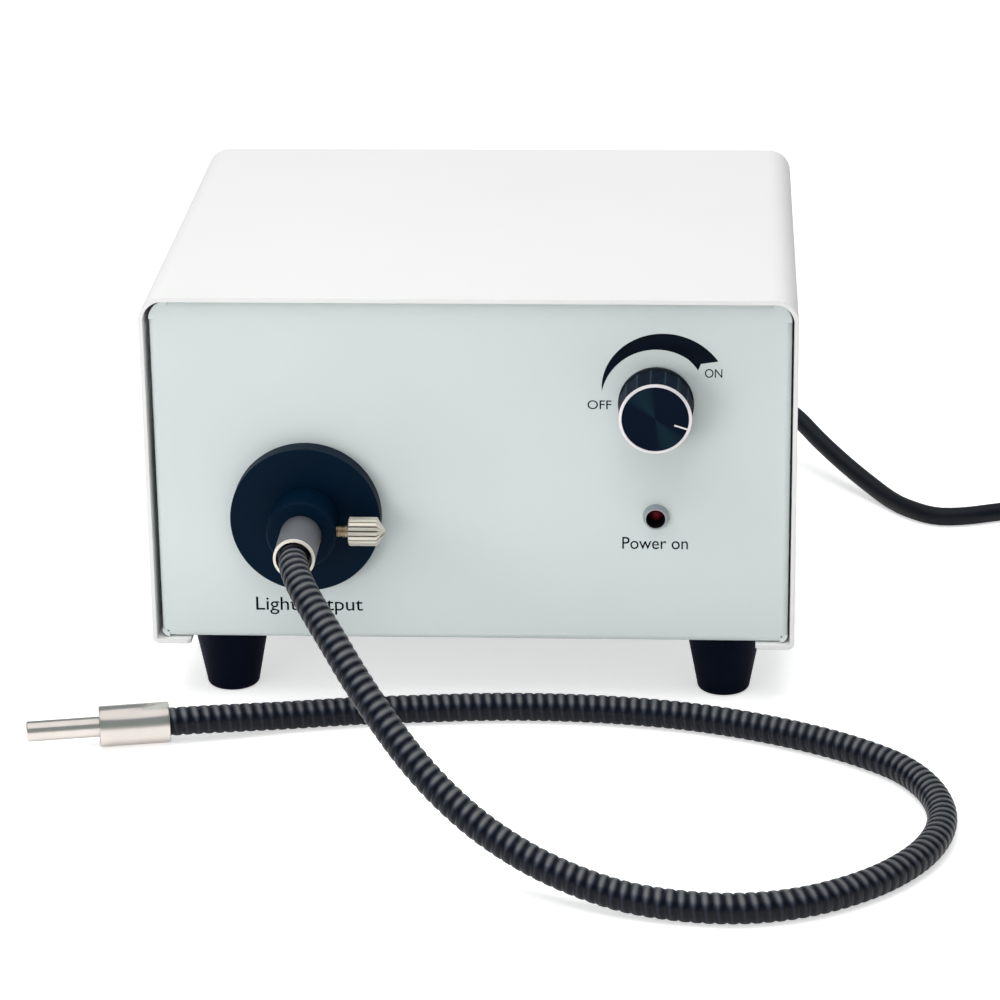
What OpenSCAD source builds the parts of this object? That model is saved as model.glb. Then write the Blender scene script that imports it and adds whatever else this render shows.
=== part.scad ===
// Fibre optic illuminator: a sheet metal lamp house with a dimmer knob, a light
// output port and a ribbed light guide clamped in it. Millimetres, +Z up, the
// front panel faces -Y. The origin is under the middle of the rigid parts.

/* [Case] */
// Outside width of the wrap-around cover
case_w = 190; // [184:1:210]
// Outside height of the cover, without the feet
case_h = 107.5; // [105:0.5:125]
// Length of the cover, front to back
case_d = 162.5; // [160:0.5:185]
// Thickness of the steel sheet
sheet_t = 1.3; // [1:0.1:1.6]
// Outside radius of the cover's two top bends
top_r = 7; // [4:0.5:10]
// Width of the cover's inward bottom lips
lip_w = 11.3; // [10.3:0.5:13.3]
// How far the front and rear walls stand inside the cover's ends
panel_recess = 1.8; // [1:0.2:3]
// Gap between the cover's sides and the chassis
side_gap = 1; // [0.8:0.1:1.6]
// How far the chassis sits to the right of the middle
chassis_shift = 0.4; // [-0.4:0.1:0.4]
// Gap between the chassis and the cover, above and below
seat_gap = 0.2; // [0.2:0.1:0.4]
// Outside radius of the chassis bends
bend_r = 1.8; // [1.8:0.1:2.6]
// Width of the flanges folded back from the chassis walls
flange_w = 10; // [7:0.5:12]

/* [Vents] */
// Number of air slots in each side of the cover
vent_count = 13; // [5:1:14]
// Distance between neighbouring slots
vent_pitch = 7; // [6:0.5:8]
// Length of one slot
vent_len = 34; // [20:1:44]
// Width of one slot
vent_w = 3; // [2:0.5:4]
// Number of air slots in the floor under the lamp
floor_vents = 6; // [3:1:7]

/* [Feet] */
// Height of a rubber foot
foot_h = 19.5; // [14:0.5:24]
// Diameter of a foot at the top
foot_top_d = 22.4; // [20:0.2:24]
// Diameter of a foot on the table
foot_base_d = 15.8; // [14:0.2:18]
// Distance of each foot from the nearer side of the cover, before the chassis shift
foot_x = 21; // [19:0.2:27]
// Distance of each foot from the nearer end of the cover
foot_inset = 17.5; // [14:0.5:24]

/* [Output port] */
// Sideways place of the light output, from the cover's left side
port_x = 47; // [43:1:51]
// Height of the light output above the bottom of the case
port_z = 41; // [38:1:46]
// Diameter of the port's flange
port_d = 44; // [40:0.5:48]
// Thickness of the port's flange
port_t = 6; // [4:0.5:8]
// Diameter of the boss that holds the guide
boss_d = 20.4; // [18:0.2:23]
// Length of the boss in front of the flange
boss_len = 12; // [11:0.5:15]
// Diameter of the port's spigot behind the panel
spigot_d = 22; // [20:0.5:24]
// Length of the spigot behind the panel's face
spigot_len = 15; // [12:0.5:18]
// Radial running clearance of the guide in the port
guide_fit = 0.07; // [0.03:0.01:0.1]

/* [Thumb screw] */
// Thread diameter of the clamping screw
stud_d = 4; // [3:0.5:5]
// Diameter of the screw's head
head_d = 8.4; // [7:0.1:11]
// Length of the screw's head
head_len = 8.6; // [6:0.2:11]
// Thread that shows between the boss and the head
stud_show = 3.4; // [2.9:0.1:5]
// Distance from the flange's face to the screw's axis
screw_set = 8.3; // [6:0.1:9]

/* [Light guide] */
// Diameter of the guide's metal sleeve
sleeve_d = 12; // [11:0.5:13]
// How far the sleeve stands out of the boss
sleeve_out = 19; // [17:0.5:21]
// Diameter over the ribs of the guide's sheath
sheath_d = 8.4; // [8:0.1:9]
// Number of ribs on the sheath
rib_count = 156; // [60:1:170]
// Diameter of the fibre bundle
bundle_d = 4.4; // [3:0.1:4.8]
// Diameter of the tip's barrel
barrel_d = 12; // [11:0.5:12]
// Length of the tip's barrel
barrel_len = 20.5; // [16:0.5:26]
// Diameter of the tip's thin tube
tip_d = 6; // [5:0.1:7]
// Length of the tip's thin tube
tip_len = 21; // [14:0.5:30]

/* [Dimmer knob] */
// Sideways place of the knob and of the indicator, from the cover's right side
knob_x = 40.8; // [35:0.2:47]
// Depth of the knob's axis below the top of the cover
knob_z = 31.3; // [27.5:0.2:37.5]
// Diameter of the knob at its collar
knob_d = 21.9; // [19:0.1:26]
// Height of the knob in front of the panel
knob_h = 15; // [12:0.1:17]
// Number of grip flutes around the knob
flute_count = 16; // [12:1:24]
// Diameter of the dimmer's shaft
shaft_d = 6; // [5:0.1:6.4]

/* [Indicator] */
// Height of the indicator above the bottom of the case
led_z = 41; // [36:0.5:46]
// Diameter of the indicator's bezel
bezel_d = 7.6; // [7:0.1:9]
// How far the bezel stands out of the panel
bezel_h = 2.5; // [1.5:0.1:4]
// Diameter of the indicator lamp
led_d = 5; // [4.5:0.1:5.2]
// Depth of the lamp's dome behind the panel's face
led_depth = 3.8; // [1.4:0.1:4.4]

/* [Lamp] */
// Rim diameter of the lamp's reflector
lamp_d = 50; // [46:0.5:52]
// Distance from the cover's front edge to the lamp's rim
lamp_u = 40; // [36:1:50]
// Depth of the reflector, rim to neck
lamp_depth = 30; // [24:1:34]

/* [Fan] */
// Side of the square fan
fan_w = 80; // [78:1:82]
// Thickness of the fan
fan_t = 25; // [20:1:28]
// Sideways place of the fan, from the cover's left side
fan_x = 50; // [47:1:53]
// Height of the fan's axis above the bottom of the case
fan_z = 48; // [47:1:52]
// Number of fan blades
blade_count = 7; // [5:1:8]

/* [Supply] */
// Diameter of the mains cord
cord_d = 6; // [5.6:0.1:6]
// Sideways place of the mains cord's entry, from the cover's right side
cord_x = 45; // [42:1:50]
// Height of the cord's entry above the bottom of the case
cord_z = 24; // [20:1:30]
// Length of the strain relief behind the rear wall
relief_len = 30; // [20:1:34]
// Width of the transformer's core
core_w = 66; // [58:1:70]
// Height of the transformer's core
core_h = 55; // [48:1:60]
// Thickness of the transformer's core
core_t = 34; // [28:1:38]

/* [Hidden] */
$fn = 64;

// Colours
white_paint = [0.93, 0.93, 0.91];
grey_paint = [0.80, 0.84, 0.84];
black_metal = [0.06, 0.06, 0.07];
black_rubber = [0.07, 0.07, 0.08];
bright_steel = [0.74, 0.73, 0.71];
brass = [0.72, 0.58, 0.32];
copper = [0.72, 0.42, 0.22];
clear_glass = [0.80, 0.88, 0.90, 0.5];
ceramic = [0.90, 0.88, 0.82];
board_green = [0.10, 0.36, 0.20];

// Sideways places, measured from the middle of the case
port_at = port_x - case_w / 2;
fan_at = fan_x - case_w / 2;
knob_at = case_w / 2 - knob_x;
foot_at = case_w / 2 - foot_x;
cord_at = case_w / 2 - cord_x;
knob_up = case_h - knob_z;

// Places along the depth: u is measured back from the cover's front edge
panel_face = panel_recess;
panel_back = panel_recess + sheet_t;
rear_face = case_d - panel_recess;
rear_inner = rear_face - sheet_t;
port_face = panel_face - port_t;
boss_face = port_face - boss_len;
sleeve_end = boss_face - sleeve_out;
relief_end = rear_face + relief_len;
case_front_y = -(sleeve_end + relief_end) / 2;

// Heights above the bottom of the case
floor_low = sheet_t + seat_gap;
floor_top = floor_low + sheet_t;
wall_top = case_h - sheet_t - seat_gap;
chassis_w = case_w - 2 * sheet_t - 2 * side_gap;
wall_top_r = top_r - sheet_t - seat_gap;
relief_d = 0.6;
relief_edge = 0.2;
wall_corner_r = bend_r + relief_d / 2 + relief_edge;
screw_clear = 0.05;
seat = 0.3;

// Puts a piece that is drawn in case coordinates into the frame
module in_case() {
  translate([0, case_front_y, foot_h])
    children();
}

// Turns an extrusion along +Z into one along +X: the drawing's x and y become Y and Z
module along_x() {
  rotate([90, 0, 90])
    children();
}

// Turns a piece that is drawn upwards along +Z towards the front, -Y
module forwards() {
  rotate([90, 0, 0])
    children();
}

// Turns a piece that is drawn upwards along +Z towards the back, +Y
module backwards() {
  rotate([-90, 0, 0])
    children();
}

// A rectangle that stands on the x axis, with its own radii above and below
module rounded_sheet(w, h, r_high, r_low) {
  translate([-w / 2, r_low])
    square([w, h - r_low - r_high]);
  translate([-w / 2 + r_high, h - r_high - 0.5])
    square([w - 2 * r_high, r_high + 0.5]);
  translate([-w / 2 + r_low, 0])
    square([w - 2 * r_low, r_low + 0.5]);
  for (side = [-1, 1]) {
    translate([side * (w / 2 - r_high), h - r_high])
      circle(r_high);
    translate([side * (w / 2 - r_low), r_low])
      circle(r_low);
  }
}

// A slot with round ends, upright, through a sheet
module slot_2d(w, len) {
  translate([-w / 2, -(len - w) / 2])
    square([w, len - w]);
  for (side = [-1, 1])
    translate([0, side * (len - w) / 2])
      circle(w / 2);
}

// One quarter of a bent sheet, in the first quadrant around the bend's centre
module bend_2d(r) {
  intersection() {
    difference() {
      circle(r);
      circle(r - sheet_t);
    }
    square(r);
  }
}

// Four places, mirrored about the middle of the case
module at_corners(x, u) {
  for (side = [-1, 1])
    for (place = [u, case_d - u])
      translate([side * x, place, 0])
        children();
}

// ---------- sheet metal ----------

lip_r = 2;
lip_cut = 1.4;
cover_screw_x = case_w / 2 - 7;
cover_screw_u = 34;
cover_screw_d = 3;
vent_drop = 47.3;
vent_z = case_h - vent_drop;

module cover() {
  color(white_paint)
    in_case()
      difference() {
        translate([0, case_d, 0])
          forwards()
            linear_extrude(case_d)
              difference() {
                rounded_sheet(case_w, case_h, top_r, lip_r);
                translate([0, sheet_t])
                  rounded_sheet(case_w - 2 * sheet_t, case_h - 2 * sheet_t,
                    top_r - sheet_t, lip_r - sheet_t);
                translate([-case_w / 2 + lip_w, -1])
                  square([case_w - 2 * lip_w, sheet_t + 2]);
              }
        // air slots in both sides
        for (i = [0:vent_count - 1])
          translate([-case_w / 2 - 1, case_d / 2 + (i - (vent_count - 1) / 2) * vent_pitch, vent_z])
            along_x()
              linear_extrude(case_w + 2)
                slot_2d(vent_w, vent_len);
        // slanted ends of the bottom lips
        for (side = [-1, 1])
          for (end = [0, case_d])
            translate([side * (case_w / 2 - lip_w), end, -1])
              rotate([0, 0, 45])
                translate([-lip_cut / 2, -lip_cut / 2, 0])
                  cube([lip_cut, lip_cut, sheet_t + 2]);
        at_corners(cover_screw_x, cover_screw_u)
          translate([0, 0, -1])
            cylinder(d = cover_screw_d + 2 * screw_clear, h = sheet_t + 2);
      }
}

module cover_screws() {
  color(bright_steel)
    in_case()
      at_corners(cover_screw_x, cover_screw_u)
        pan_screw(cover_screw_d, floor_top + 3);
}

// A pan head screw, its head under the plane z = 0 and its shank upwards
module pan_screw(d, len) {
  cylinder(d = d, h = len);
  difference() {
    translate([0, 0, -0.62 * d])
      intersection() {
        cylinder(d = 1.9 * d, h = 0.62 * d);
        translate([0, 0, 1.25 * d])
          sphere(r = 1.5 * d);
      }
    for (turn = [0, 90])
      rotate([0, 0, turn])
        translate([-0.6 * d, -0.11 * d, -0.7 * d])
          cube([1.2 * d, 0.22 * d, 0.35 * d]);
  }
}

fan_hole = fan_w / 2 - 4.25;
fan_bore = fan_w - 4;
fan_screw_d = 4;
fuse_at = case_w / 2 - 19;
fuse_z = 46;
fuse_d = 12.4;
relief_neck_d = 11;
pot_bush_d = 9;
led_body_d = led_d + 0.4;
board_post_x = 26;

module chassis() {
  strip_w = chassis_w - 2 * wall_corner_r;
  color(grey_paint)
    in_case()
      difference() {
        union() {
          // floor with its bends up to the front and rear walls
          translate([chassis_shift - strip_w / 2, 0, 0])
            along_x()
              linear_extrude(strip_w)
                intersection() {
                  difference() {
                    translate([case_d / 2, floor_low])
                      rounded_sheet(case_d - 2 * panel_recess, 4 * bend_r, 0.01, bend_r);
                    translate([case_d / 2, floor_top])
                      rounded_sheet(case_d - 2 * panel_recess - 2 * sheet_t, 4 * bend_r, 0.01,
                        bend_r - sheet_t);
                  }
                  translate([0, floor_low])
                    square([case_d, bend_r]);
                }
          for (end = [0, 1])
            translate([chassis_shift, end * case_d, 0])
              mirror([0, end, 0])
                chassis_wall();
        }
        front_holes();
        rear_holes();
        floor_holes();
      }
}

// The flat of one wall: rounded corners, and strips left out where the bends begin
module wall_flat_2d() {
  difference() {
    translate([0, floor_low])
      rounded_sheet(chassis_w, wall_top - floor_low, wall_top_r, wall_corner_r);
    for (side = [-1, 1])
      translate([side * (chassis_w / 2 - bend_r / 2) - bend_r / 2, floor_low + wall_corner_r])
        square([bend_r, wall_top - wall_top_r - floor_low - wall_corner_r]);
    translate([-chassis_w / 2 + wall_top_r, wall_top - bend_r])
      square([chassis_w - 2 * wall_top_r, bend_r]);
    translate([-chassis_w / 2 + wall_corner_r, floor_low])
      square([chassis_w - 2 * wall_corner_r, bend_r]);
    // relief holes where the bend lines cross
    for (side = [-1, 1])
      translate([side * (chassis_w / 2 - bend_r), floor_low + bend_r])
        circle(d = relief_d);
  }
}

// One wall of the chassis with the flanges folded back from its sides and its top
module chassis_wall() {
  side_low = floor_low + wall_corner_r;
  side_h = wall_top - wall_top_r - side_low;
  top_w = chassis_w - 2 * wall_top_r;
  translate([0, panel_back, 0])
    forwards()
      linear_extrude(sheet_t)
        wall_flat_2d();
  for (side = [0, 1])
    mirror([side, 0, 0]) {
      translate([chassis_w / 2 - bend_r, panel_face + bend_r, side_low])
        linear_extrude(side_h)
          rotate(-90)
            bend_2d(bend_r);
      translate([chassis_w / 2 - sheet_t, panel_face + bend_r, side_low])
        cube([sheet_t, flange_w - bend_r, side_h]);
    }
  translate([-top_w / 2, panel_face + bend_r, wall_top - bend_r])
    along_x()
      linear_extrude(top_w)
        rotate(90)
          bend_2d(bend_r);
  translate([-top_w / 2, panel_face + bend_r, wall_top - sheet_t])
    cube([top_w, flange_w - bend_r, sheet_t]);
}

// A round hole through the front or rear wall
module wall_hole(x, u, z, d) {
  translate([x, u + 3, z])
    forwards()
      cylinder(d = d, h = 6 + sheet_t);
}

module front_holes() {
  wall_hole(port_at, panel_back, port_z, spigot_d + 2 * seat);
  wall_hole(knob_at, panel_back, knob_up, pot_bush_d + 2 * seat);
  wall_hole(knob_at, panel_back, led_z, led_body_d + 2 * seat);
}

module rear_holes() {
  wall_hole(fan_at, rear_face, fan_z, fan_bore);
  for (sx = [-1, 1])
    for (sz = [-1, 1])
      wall_hole(fan_at + sx * fan_hole, rear_face, fan_z + sz * fan_hole, fan_screw_d + 2 * screw_clear);
  wall_hole(cord_at, rear_face, cord_z, relief_neck_d + 2 * seat);
  wall_hole(fuse_at, rear_face, fuse_z, fuse_d + 2 * seat);
}

module floor_holes() {
  translate([chassis_shift, 0, 0])
    at_corners(foot_at, foot_inset)
      cylinder(d = foot_screw_d + 2 * screw_clear, h = floor_top + 1);
  at_corners(cover_screw_x, cover_screw_u)
    cylinder(d = cover_screw_d + 2 * screw_clear, h = floor_top + 1);
  for (i = [0:floor_vents - 1])
    translate([port_at + (i - (floor_vents - 1) / 2) * 8, lamp_u + 18, 0])
      linear_extrude(floor_top + 1)
        slot_2d(4, 30);
}

// ---------- feet ----------

foot_screw_d = 4;
foot_wall = 5;
foot_recess_d = 9;
foot_edge_r = 1.6;
foot_neck_d = 2 * (foot_x - abs(chassis_shift) - lip_w - seat);

// A conical rubber foot with a rounded lower edge and a recess for its screw; its
// neck passes between the cover's lips to the chassis
module foot(side, end) {
  color(black_rubber)
    in_case()
      translate([chassis_shift + side * foot_at, end == 0 ? foot_inset : case_d - foot_inset, 0])
        difference() {
          union() {
            translate([0, 0, -foot_h + foot_edge_r])
              cylinder(d1 = foot_base_d, d2 = foot_top_d, h = foot_h - foot_edge_r - seat);
            translate([0, 0, -seat - 1])
              cylinder(d = foot_neck_d, h = floor_low + seat + 1);
            translate([0, 0, -foot_h])
              cylinder(d = foot_base_d - 2 * foot_edge_r, h = foot_edge_r);
            translate([0, 0, -foot_h + foot_edge_r])
              rotate_extrude()
                translate([foot_base_d / 2 - foot_edge_r, 0])
                  circle(foot_edge_r);
          }
          translate([0, 0, -foot_h - 1])
            cylinder(d = foot_recess_d, h = foot_h - foot_wall + 1);
          translate([0, 0, -foot_wall - 1])
            cylinder(d = foot_screw_d + 2 * screw_clear, h = foot_wall + floor_low + 2);
        }
}

module foot_front_left() { foot(-1, 0); }
module foot_front_right() { foot(1, 0); }
module foot_rear_left() { foot(-1, 1); }
module foot_rear_right() { foot(1, 1); }

module foot_screws() {
  color(bright_steel)
    in_case()
      translate([chassis_shift, 0, 0])
        at_corners(foot_at, foot_inset)
          translate([0, 0, -foot_wall])
            pan_screw(foot_screw_d, foot_wall + floor_top + 2.5);
}

// ---------- output port and thumb screw ----------

screw_u = port_face - screw_set;
screw_tip_gap = seat;
head_x = port_at + boss_d / 2 + stud_show;
groove_d = 0.7;
groove_step = 20;
head_cone_d = head_d - 1.2;
head_cone_len = 2.3;
driver_slot_w = 0.95;
driver_slot_turn = -20;

port_bevel = 0.3;

module port_flange() {
  color(black_metal)
    in_case()
      difference() {
        translate([port_at, panel_face, port_z])
          union() {
            // flange with a bevelled front edge
            forwards()
              cylinder(d = port_d, h = port_t - port_bevel);
            translate([0, -port_t + port_bevel, 0])
              forwards()
                cylinder(d1 = port_d, d2 = port_d - 2 * port_bevel, h = port_bevel);
            // boss with a small bevel at its mouth
            forwards()
              cylinder(d = boss_d, h = port_t + boss_len - 0.6);
            translate([0, -port_t - boss_len + 0.6, 0])
              forwards()
                cylinder(d1 = boss_d, d2 = boss_d - 1.2, h = 0.6);
            backwards()
              cylinder(d = spigot_d, h = spigot_len);
          }
        translate([port_at, panel_face + spigot_len + 1, port_z])
          forwards()
            cylinder(d = sleeve_d + 2 * guide_fit, h = spigot_len + port_t + boss_len + 2);
        translate([port_at, screw_u, port_z])
          rotate([0, 90, 0])
            cylinder(d = stud_d + 2 * screw_clear, h = boss_d);
      }
}

nut_ring_d = 31;
nut_ring_t = 5;

module port_nut() {
  color(black_metal)
    in_case()
      translate([port_at, panel_back, port_z])
        backwards()
          difference() {
            cylinder(d = nut_ring_d, h = nut_ring_t);
            translate([0, 0, -1])
              cylinder(d = spigot_d + 2 * screw_clear, h = nut_ring_t + 2);
            for (turn = [0:90:270])
              rotate([0, 0, turn])
                translate([nut_ring_d / 2 - 2, -1.5, nut_ring_t - 2.5])
                  cube([3, 3, 3]);
          }
}

module screw_stud() {
  color(brass)
    in_case()
      translate([port_at + sleeve_d / 2 + screw_tip_gap, screw_u, port_z])
        rotate([0, 90, 0])
          union() {
            cylinder(d1 = stud_d - 1.2, d2 = stud_d, h = 0.8);
            translate([0, 0, 0.8])
              cylinder(d = stud_d, h = head_x - port_at - sleeve_d / 2 - screw_tip_gap - 0.8);
          }
}

module screw_head() {
  color(bright_steel)
    in_case()
      translate([head_x, screw_u, port_z])
        rotate([0, 90, 0])
          difference() {
            union() {
              cylinder(d1 = head_d - groove_d, d2 = head_d, h = groove_d / 2);
              translate([0, 0, groove_d / 2])
                cylinder(d = head_d, h = head_len - groove_d);
              translate([0, 0, head_len - groove_d / 2])
                cylinder(d1 = head_d, d2 = head_d - groove_d, h = groove_d / 2);
              translate([0, 0, head_len])
                cylinder(d1 = head_cone_d, d2 = head_cone_d / 2, h = head_cone_len);
            }
            for (turn = [0:groove_step:360 - groove_step])
              rotate([0, 0, turn])
                translate([head_d / 2, 0, -1])
                  cylinder(d = groove_d, h = head_len + 2, $fn = 16);
            // screwdriver slot across the cone
            rotate([0, 0, driver_slot_turn])
              translate([-driver_slot_w / 2, -head_d / 2, head_len + 0.2])
                cube([driver_slot_w, head_d, head_cone_len]);
          }
}

// ---------- light guide ----------

hose_seat = 8;
sheath_valley_d = sheath_d - 1.4;
sheath_bore_d = bundle_d + 1.2;
sleeve_inner = panel_face + spigot_len - 1;

module guide_sleeve() {
  color(bright_steel)
    in_case()
      translate([port_at, sleeve_inner, port_z])
        forwards()
          difference() {
            union() {
              cylinder(d = sleeve_d, h = sleeve_inner - sleeve_end - 0.6);
              translate([0, 0, sleeve_inner - sleeve_end - 0.6])
                cylinder(d1 = sleeve_d, d2 = sleeve_d - 1.2, h = 0.6);
            }
            translate([0, 0, -1])
              cylinder(d = bundle_d + 2 * seat, h = sleeve_inner - sleeve_end + 2);
            translate([0, 0, sleeve_inner - sleeve_end - hose_seat])
              cylinder(d = sheath_d + 2 * seat, h = hose_seat + 1);
          }
}

// The light guide's line from its seat in the sleeve to the barrel: down from the
// sleeve's mouth, then on the table
hose_z = 4.2;
guide_mouth = [port_at, case_front_y + sleeve_end, foot_h + port_z];
guide_drop = [
  [0, 8, 0], [0, -1, 0], [1.5, -9, -0.7], [6, -21, -3.5], [14, -35.5, -9.7],
  [21.5, -47, -16.7], [29.5, -57, -24.2], [38, -66, -31.7], [48, -74.5, -39],
  [60, -83, -45.5], [75, -91.5, -50.9], [93, -98.5, -54.9], [110, -102.5, -56.2]];
guide_rest = [
  [79, -216.5, hose_z], [95, -212.5, hose_z], [110, -203.5, hose_z], [122, -191.5, hose_z],
  [130.5, -177, hose_z], [134.5, -160.5, hose_z], [132.5, -143.5, hose_z],
  [125.5, -128.5, hose_z], [114, -117, hose_z], [100, -107.5, hose_z], [84, -99.5, hose_z],
  [66, -93, hose_z], [47, -89, hose_z], [27, -87, hose_z], [7, -87, hose_z],
  [-13, -88.8, hose_z], [-34, -91.3, hose_z], [-53, -95.5, 4.5], [-66, -99.4, 5.3],
  [-79, -103, 6], [-87, -104.6, 6]];
guide_route = concat([for (step = guide_drop) guide_mouth + step], guide_rest);

function unit(v) = v / norm(v);

// A point on the smooth curve through four route points, between the middle two
function curve_point(a, b, c, d, t) =
  0.5 * (2 * b + (c - a) * t + (2 * a - 5 * b + 4 * c - d) * t * t
    + (3 * b - a - 3 * c + d) * t * t * t);

// The smooth curve through a route, in short steps
function smooth_curve(route, steps) = [
  for (i = [0:len(route) - 2], k = [0:steps - 1])
    curve_point(route[max(i - 1, 0)], route[i], route[i + 1],
      route[min(i + 2, len(route) - 1)], k / steps),
  route[len(route) - 1]];

// The distance along a line at each of its points
function run_lengths(line) = [
  for (i = 0, run = 0; i < len(line); run = run + (i + 1 < len(line) ? norm(line[i + 1] - line[i]) : 0),
    i = i + 1) run];

// The line's places as tables of x, y and z against the distance along it
function run_tables(line, runs) = [
  for (axis = [0:2]) [for (i = [0:len(line) - 1]) [runs[i], line[i][axis]]]];

function place_at(tables, run) = [for (axis = [0:2]) lookup(run, tables[axis])];

function heading_at(tables, run, whole) =
  unit(place_at(tables, min(run + 0.8, whole)) - place_at(tables, max(run - 0.8, 0)));

// A ring of points around a place, square to the heading
function ring_points(place, heading, r, sides) =
  let (across = unit(cross(heading, [0, 0, 1])), upward = cross(across, heading))
  [for (k = [0:sides - 1])
    let (turn = 360 * (k + 0.5) / sides)
    place + r * (cos(turn) * across + sin(turn) * upward)];

// Triangles of the wall between each ring and the next, facing outwards
function wall_faces(first, rings, sides) = [
  for (i = [0:rings - 2], k = [0:sides - 1])
    let (a = first + i * sides + k, b = first + i * sides + (k + 1) % sides)
    each [[a, a + sides, b + sides], [a, b + sides, b]]];

function flipped(faces) = [for (f = faces) [f[2], f[1], f[0]]];

// Triangles that close a full ring
function cap_faces(first, sides) = [for (k = [1:sides - 2]) [first, first + k, first + k + 1]];

// Triangles between an outer ring and an inner one
function rim_faces(outer, inner, sides) = [
  for (k = [0:sides - 1])
    let (n = (k + 1) % sides)
    each [[outer + k, outer + n, inner + n], [outer + k, inner + n, inner + k]]];

// A solid tube through the given rings
module solid_tube(points, rings, sides) {
  polyhedron(
    points = points,
    faces = concat(
      wall_faces(0, rings, sides),
      cap_faces(0, sides),
      flipped(cap_faces((rings - 1) * sides, sides))));
}

// A tube with a bore: the outer rings first, then the rings of the bore
module hollow_tube(outer, outer_rings, bore, bore_rings, sides) {
  start = outer_rings * sides;
  polyhedron(
    points = concat(outer, bore),
    faces = concat(
      wall_faces(0, outer_rings, sides),
      flipped(wall_faces(start, bore_rings, sides)),
      rim_faces(0, start, sides),
      flipped(rim_faces((outer_rings - 1) * sides, start + (bore_rings - 1) * sides, sides))));
}

guide_line = smooth_curve(guide_route, 8);
guide_runs = run_lengths(guide_line);
guide_tables = run_tables(guide_line, guide_runs);
guide_len = guide_runs[len(guide_runs) - 1];
guide_sides = 8;
bore_rings = 78;
echo(light_guide_length_mm = guide_len);

// Half a rib apart: even rings lie in a valley, odd ones on a crest
function sheath_ring(i) =
  let (run = guide_len * i / (2 * rib_count))
  ring_points(place_at(guide_tables, run), heading_at(guide_tables, run, guide_len),
    (i % 2 == 0 ? sheath_valley_d : sheath_d) / 2, guide_sides);

function inner_ring(i, d) =
  let (run = guide_len * i / (bore_rings - 1))
  ring_points(place_at(guide_tables, run), heading_at(guide_tables, run, guide_len), d / 2, guide_sides);

module guide_sheath() {
  color(black_rubber)
    hollow_tube(
      [for (i = [0:2 * rib_count]) each sheath_ring(i)], 2 * rib_count + 1,
      [for (i = [0:bore_rings - 1]) each inner_ring(i, sheath_bore_d)], bore_rings,
      guide_sides);
}

// The tip's axis: +Z here runs out of the barrel towards the lit end
tip_turn = 191.5;
tip_heading = [cos(tip_turn), sin(tip_turn), 0];

// The bundle runs on past the sheath's ends, into the sleeve and to the tip's mouth
bundle_reach = barrel_len + tip_len - 0.8;
bundle_start = [guide_route[0][0], sleeve_inner + case_front_y, guide_route[0][2]];
bundle_stop = guide_route[len(guide_route) - 1] + bundle_reach * tip_heading;

module fibre_bundle() {
  color(clear_glass)
    solid_tube(
      concat(
        ring_points(bundle_start, [0, -1, 0], bundle_d / 2, guide_sides),
        [for (i = [0:bore_rings - 1]) each inner_ring(i, bundle_d)],
        ring_points(bundle_stop, tip_heading, bundle_d / 2, guide_sides)),
      bore_rings + 2, guide_sides);
}

module at_tip() {
  translate(guide_route[len(guide_route) - 1])
    rotate([0, 0, tip_turn])
      rotate([0, 90, 0])
        children();
}

module tip_barrel() {
  color(bright_steel)
    at_tip()
      difference() {
        union() {
          cylinder(d1 = barrel_d - 0.8, d2 = barrel_d, h = 0.4);
          translate([0, 0, 0.4])
            cylinder(d = barrel_d, h = barrel_len - 0.8);
          translate([0, 0, barrel_len - 0.4])
            cylinder(d1 = barrel_d, d2 = barrel_d - 0.8, h = 0.4);
        }
        translate([0, 0, -1])
          cylinder(d = bundle_d + 2 * seat, h = barrel_len + 2);
      }
}

module tip_tube() {
  color(bright_steel)
    at_tip()
      translate([0, 0, barrel_len])
        difference() {
          union() {
            cylinder(d = tip_d, h = tip_len - 0.4);
            translate([0, 0, tip_len - 0.4])
              cylinder(d1 = tip_d, d2 = tip_d - 0.8, h = 0.4);
          }
          translate([0, 0, -1])
            cylinder(d = bundle_d + 2 * seat, h = tip_len + 2);
        }
}

// ---------- dimmer knob ----------

knob_gap = 0.4;
collar_h = 2.6;
knob_front_d = knob_d - 1;
knob_bore_len = 10.5;
cap_t = 1.2;
rim_w = 0.8;
flute_r = 4.4;
flute_floor_r = knob_front_d / 2 - 0.6;
pointer_turn = -18;
pointer_start = 5.7;
pointer_w = 0.7;

module at_knob() {
  in_case()
    translate([knob_at, panel_face, knob_up])
      forwards()
        children();
}

module knob_body() {
  color(black_rubber)
    at_knob()
      difference() {
        union() {
          translate([0, 0, knob_gap])
            cylinder(d = knob_d, h = collar_h - knob_gap);
          translate([0, 0, collar_h])
            cylinder(d1 = knob_d - 0.6, d2 = knob_front_d, h = knob_h - cap_t - collar_h);
        }
        // grip flutes between the collar and the cap
        for (i = [0:flute_count - 1])
          rotate([0, 0, (i + 0.5) * 360 / flute_count])
            translate([flute_floor_r + flute_r, 0, collar_h])
              cylinder(r = flute_r, h = knob_h);
        translate([0, 0, -1])
          cylinder(d = shaft_d + 2 * screw_clear, h = knob_bore_len + 1);
        // room for the dimmer's nut
        cylinder(d = pot_bush_d + 6, h = 2 * (pot_nut_t + seat));
      }
}

module knob_cap() {
  color(bright_steel)
    at_knob()
      translate([0, 0, knob_h - cap_t])
        difference() {
          cylinder(d1 = knob_front_d, d2 = knob_front_d - 2 * rim_w, h = cap_t);
          // pointer line across the face and its bevelled rim
          rotate([0, 0, pointer_turn])
            translate([pointer_start, -pointer_w / 2, cap_t - 0.3])
              cube([knob_d, pointer_w, 1]);
        }
}

pot_nut_t = 2;
pot_depth = 9;
board_u = panel_back + pot_depth;
board_t = 1.6;

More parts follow.
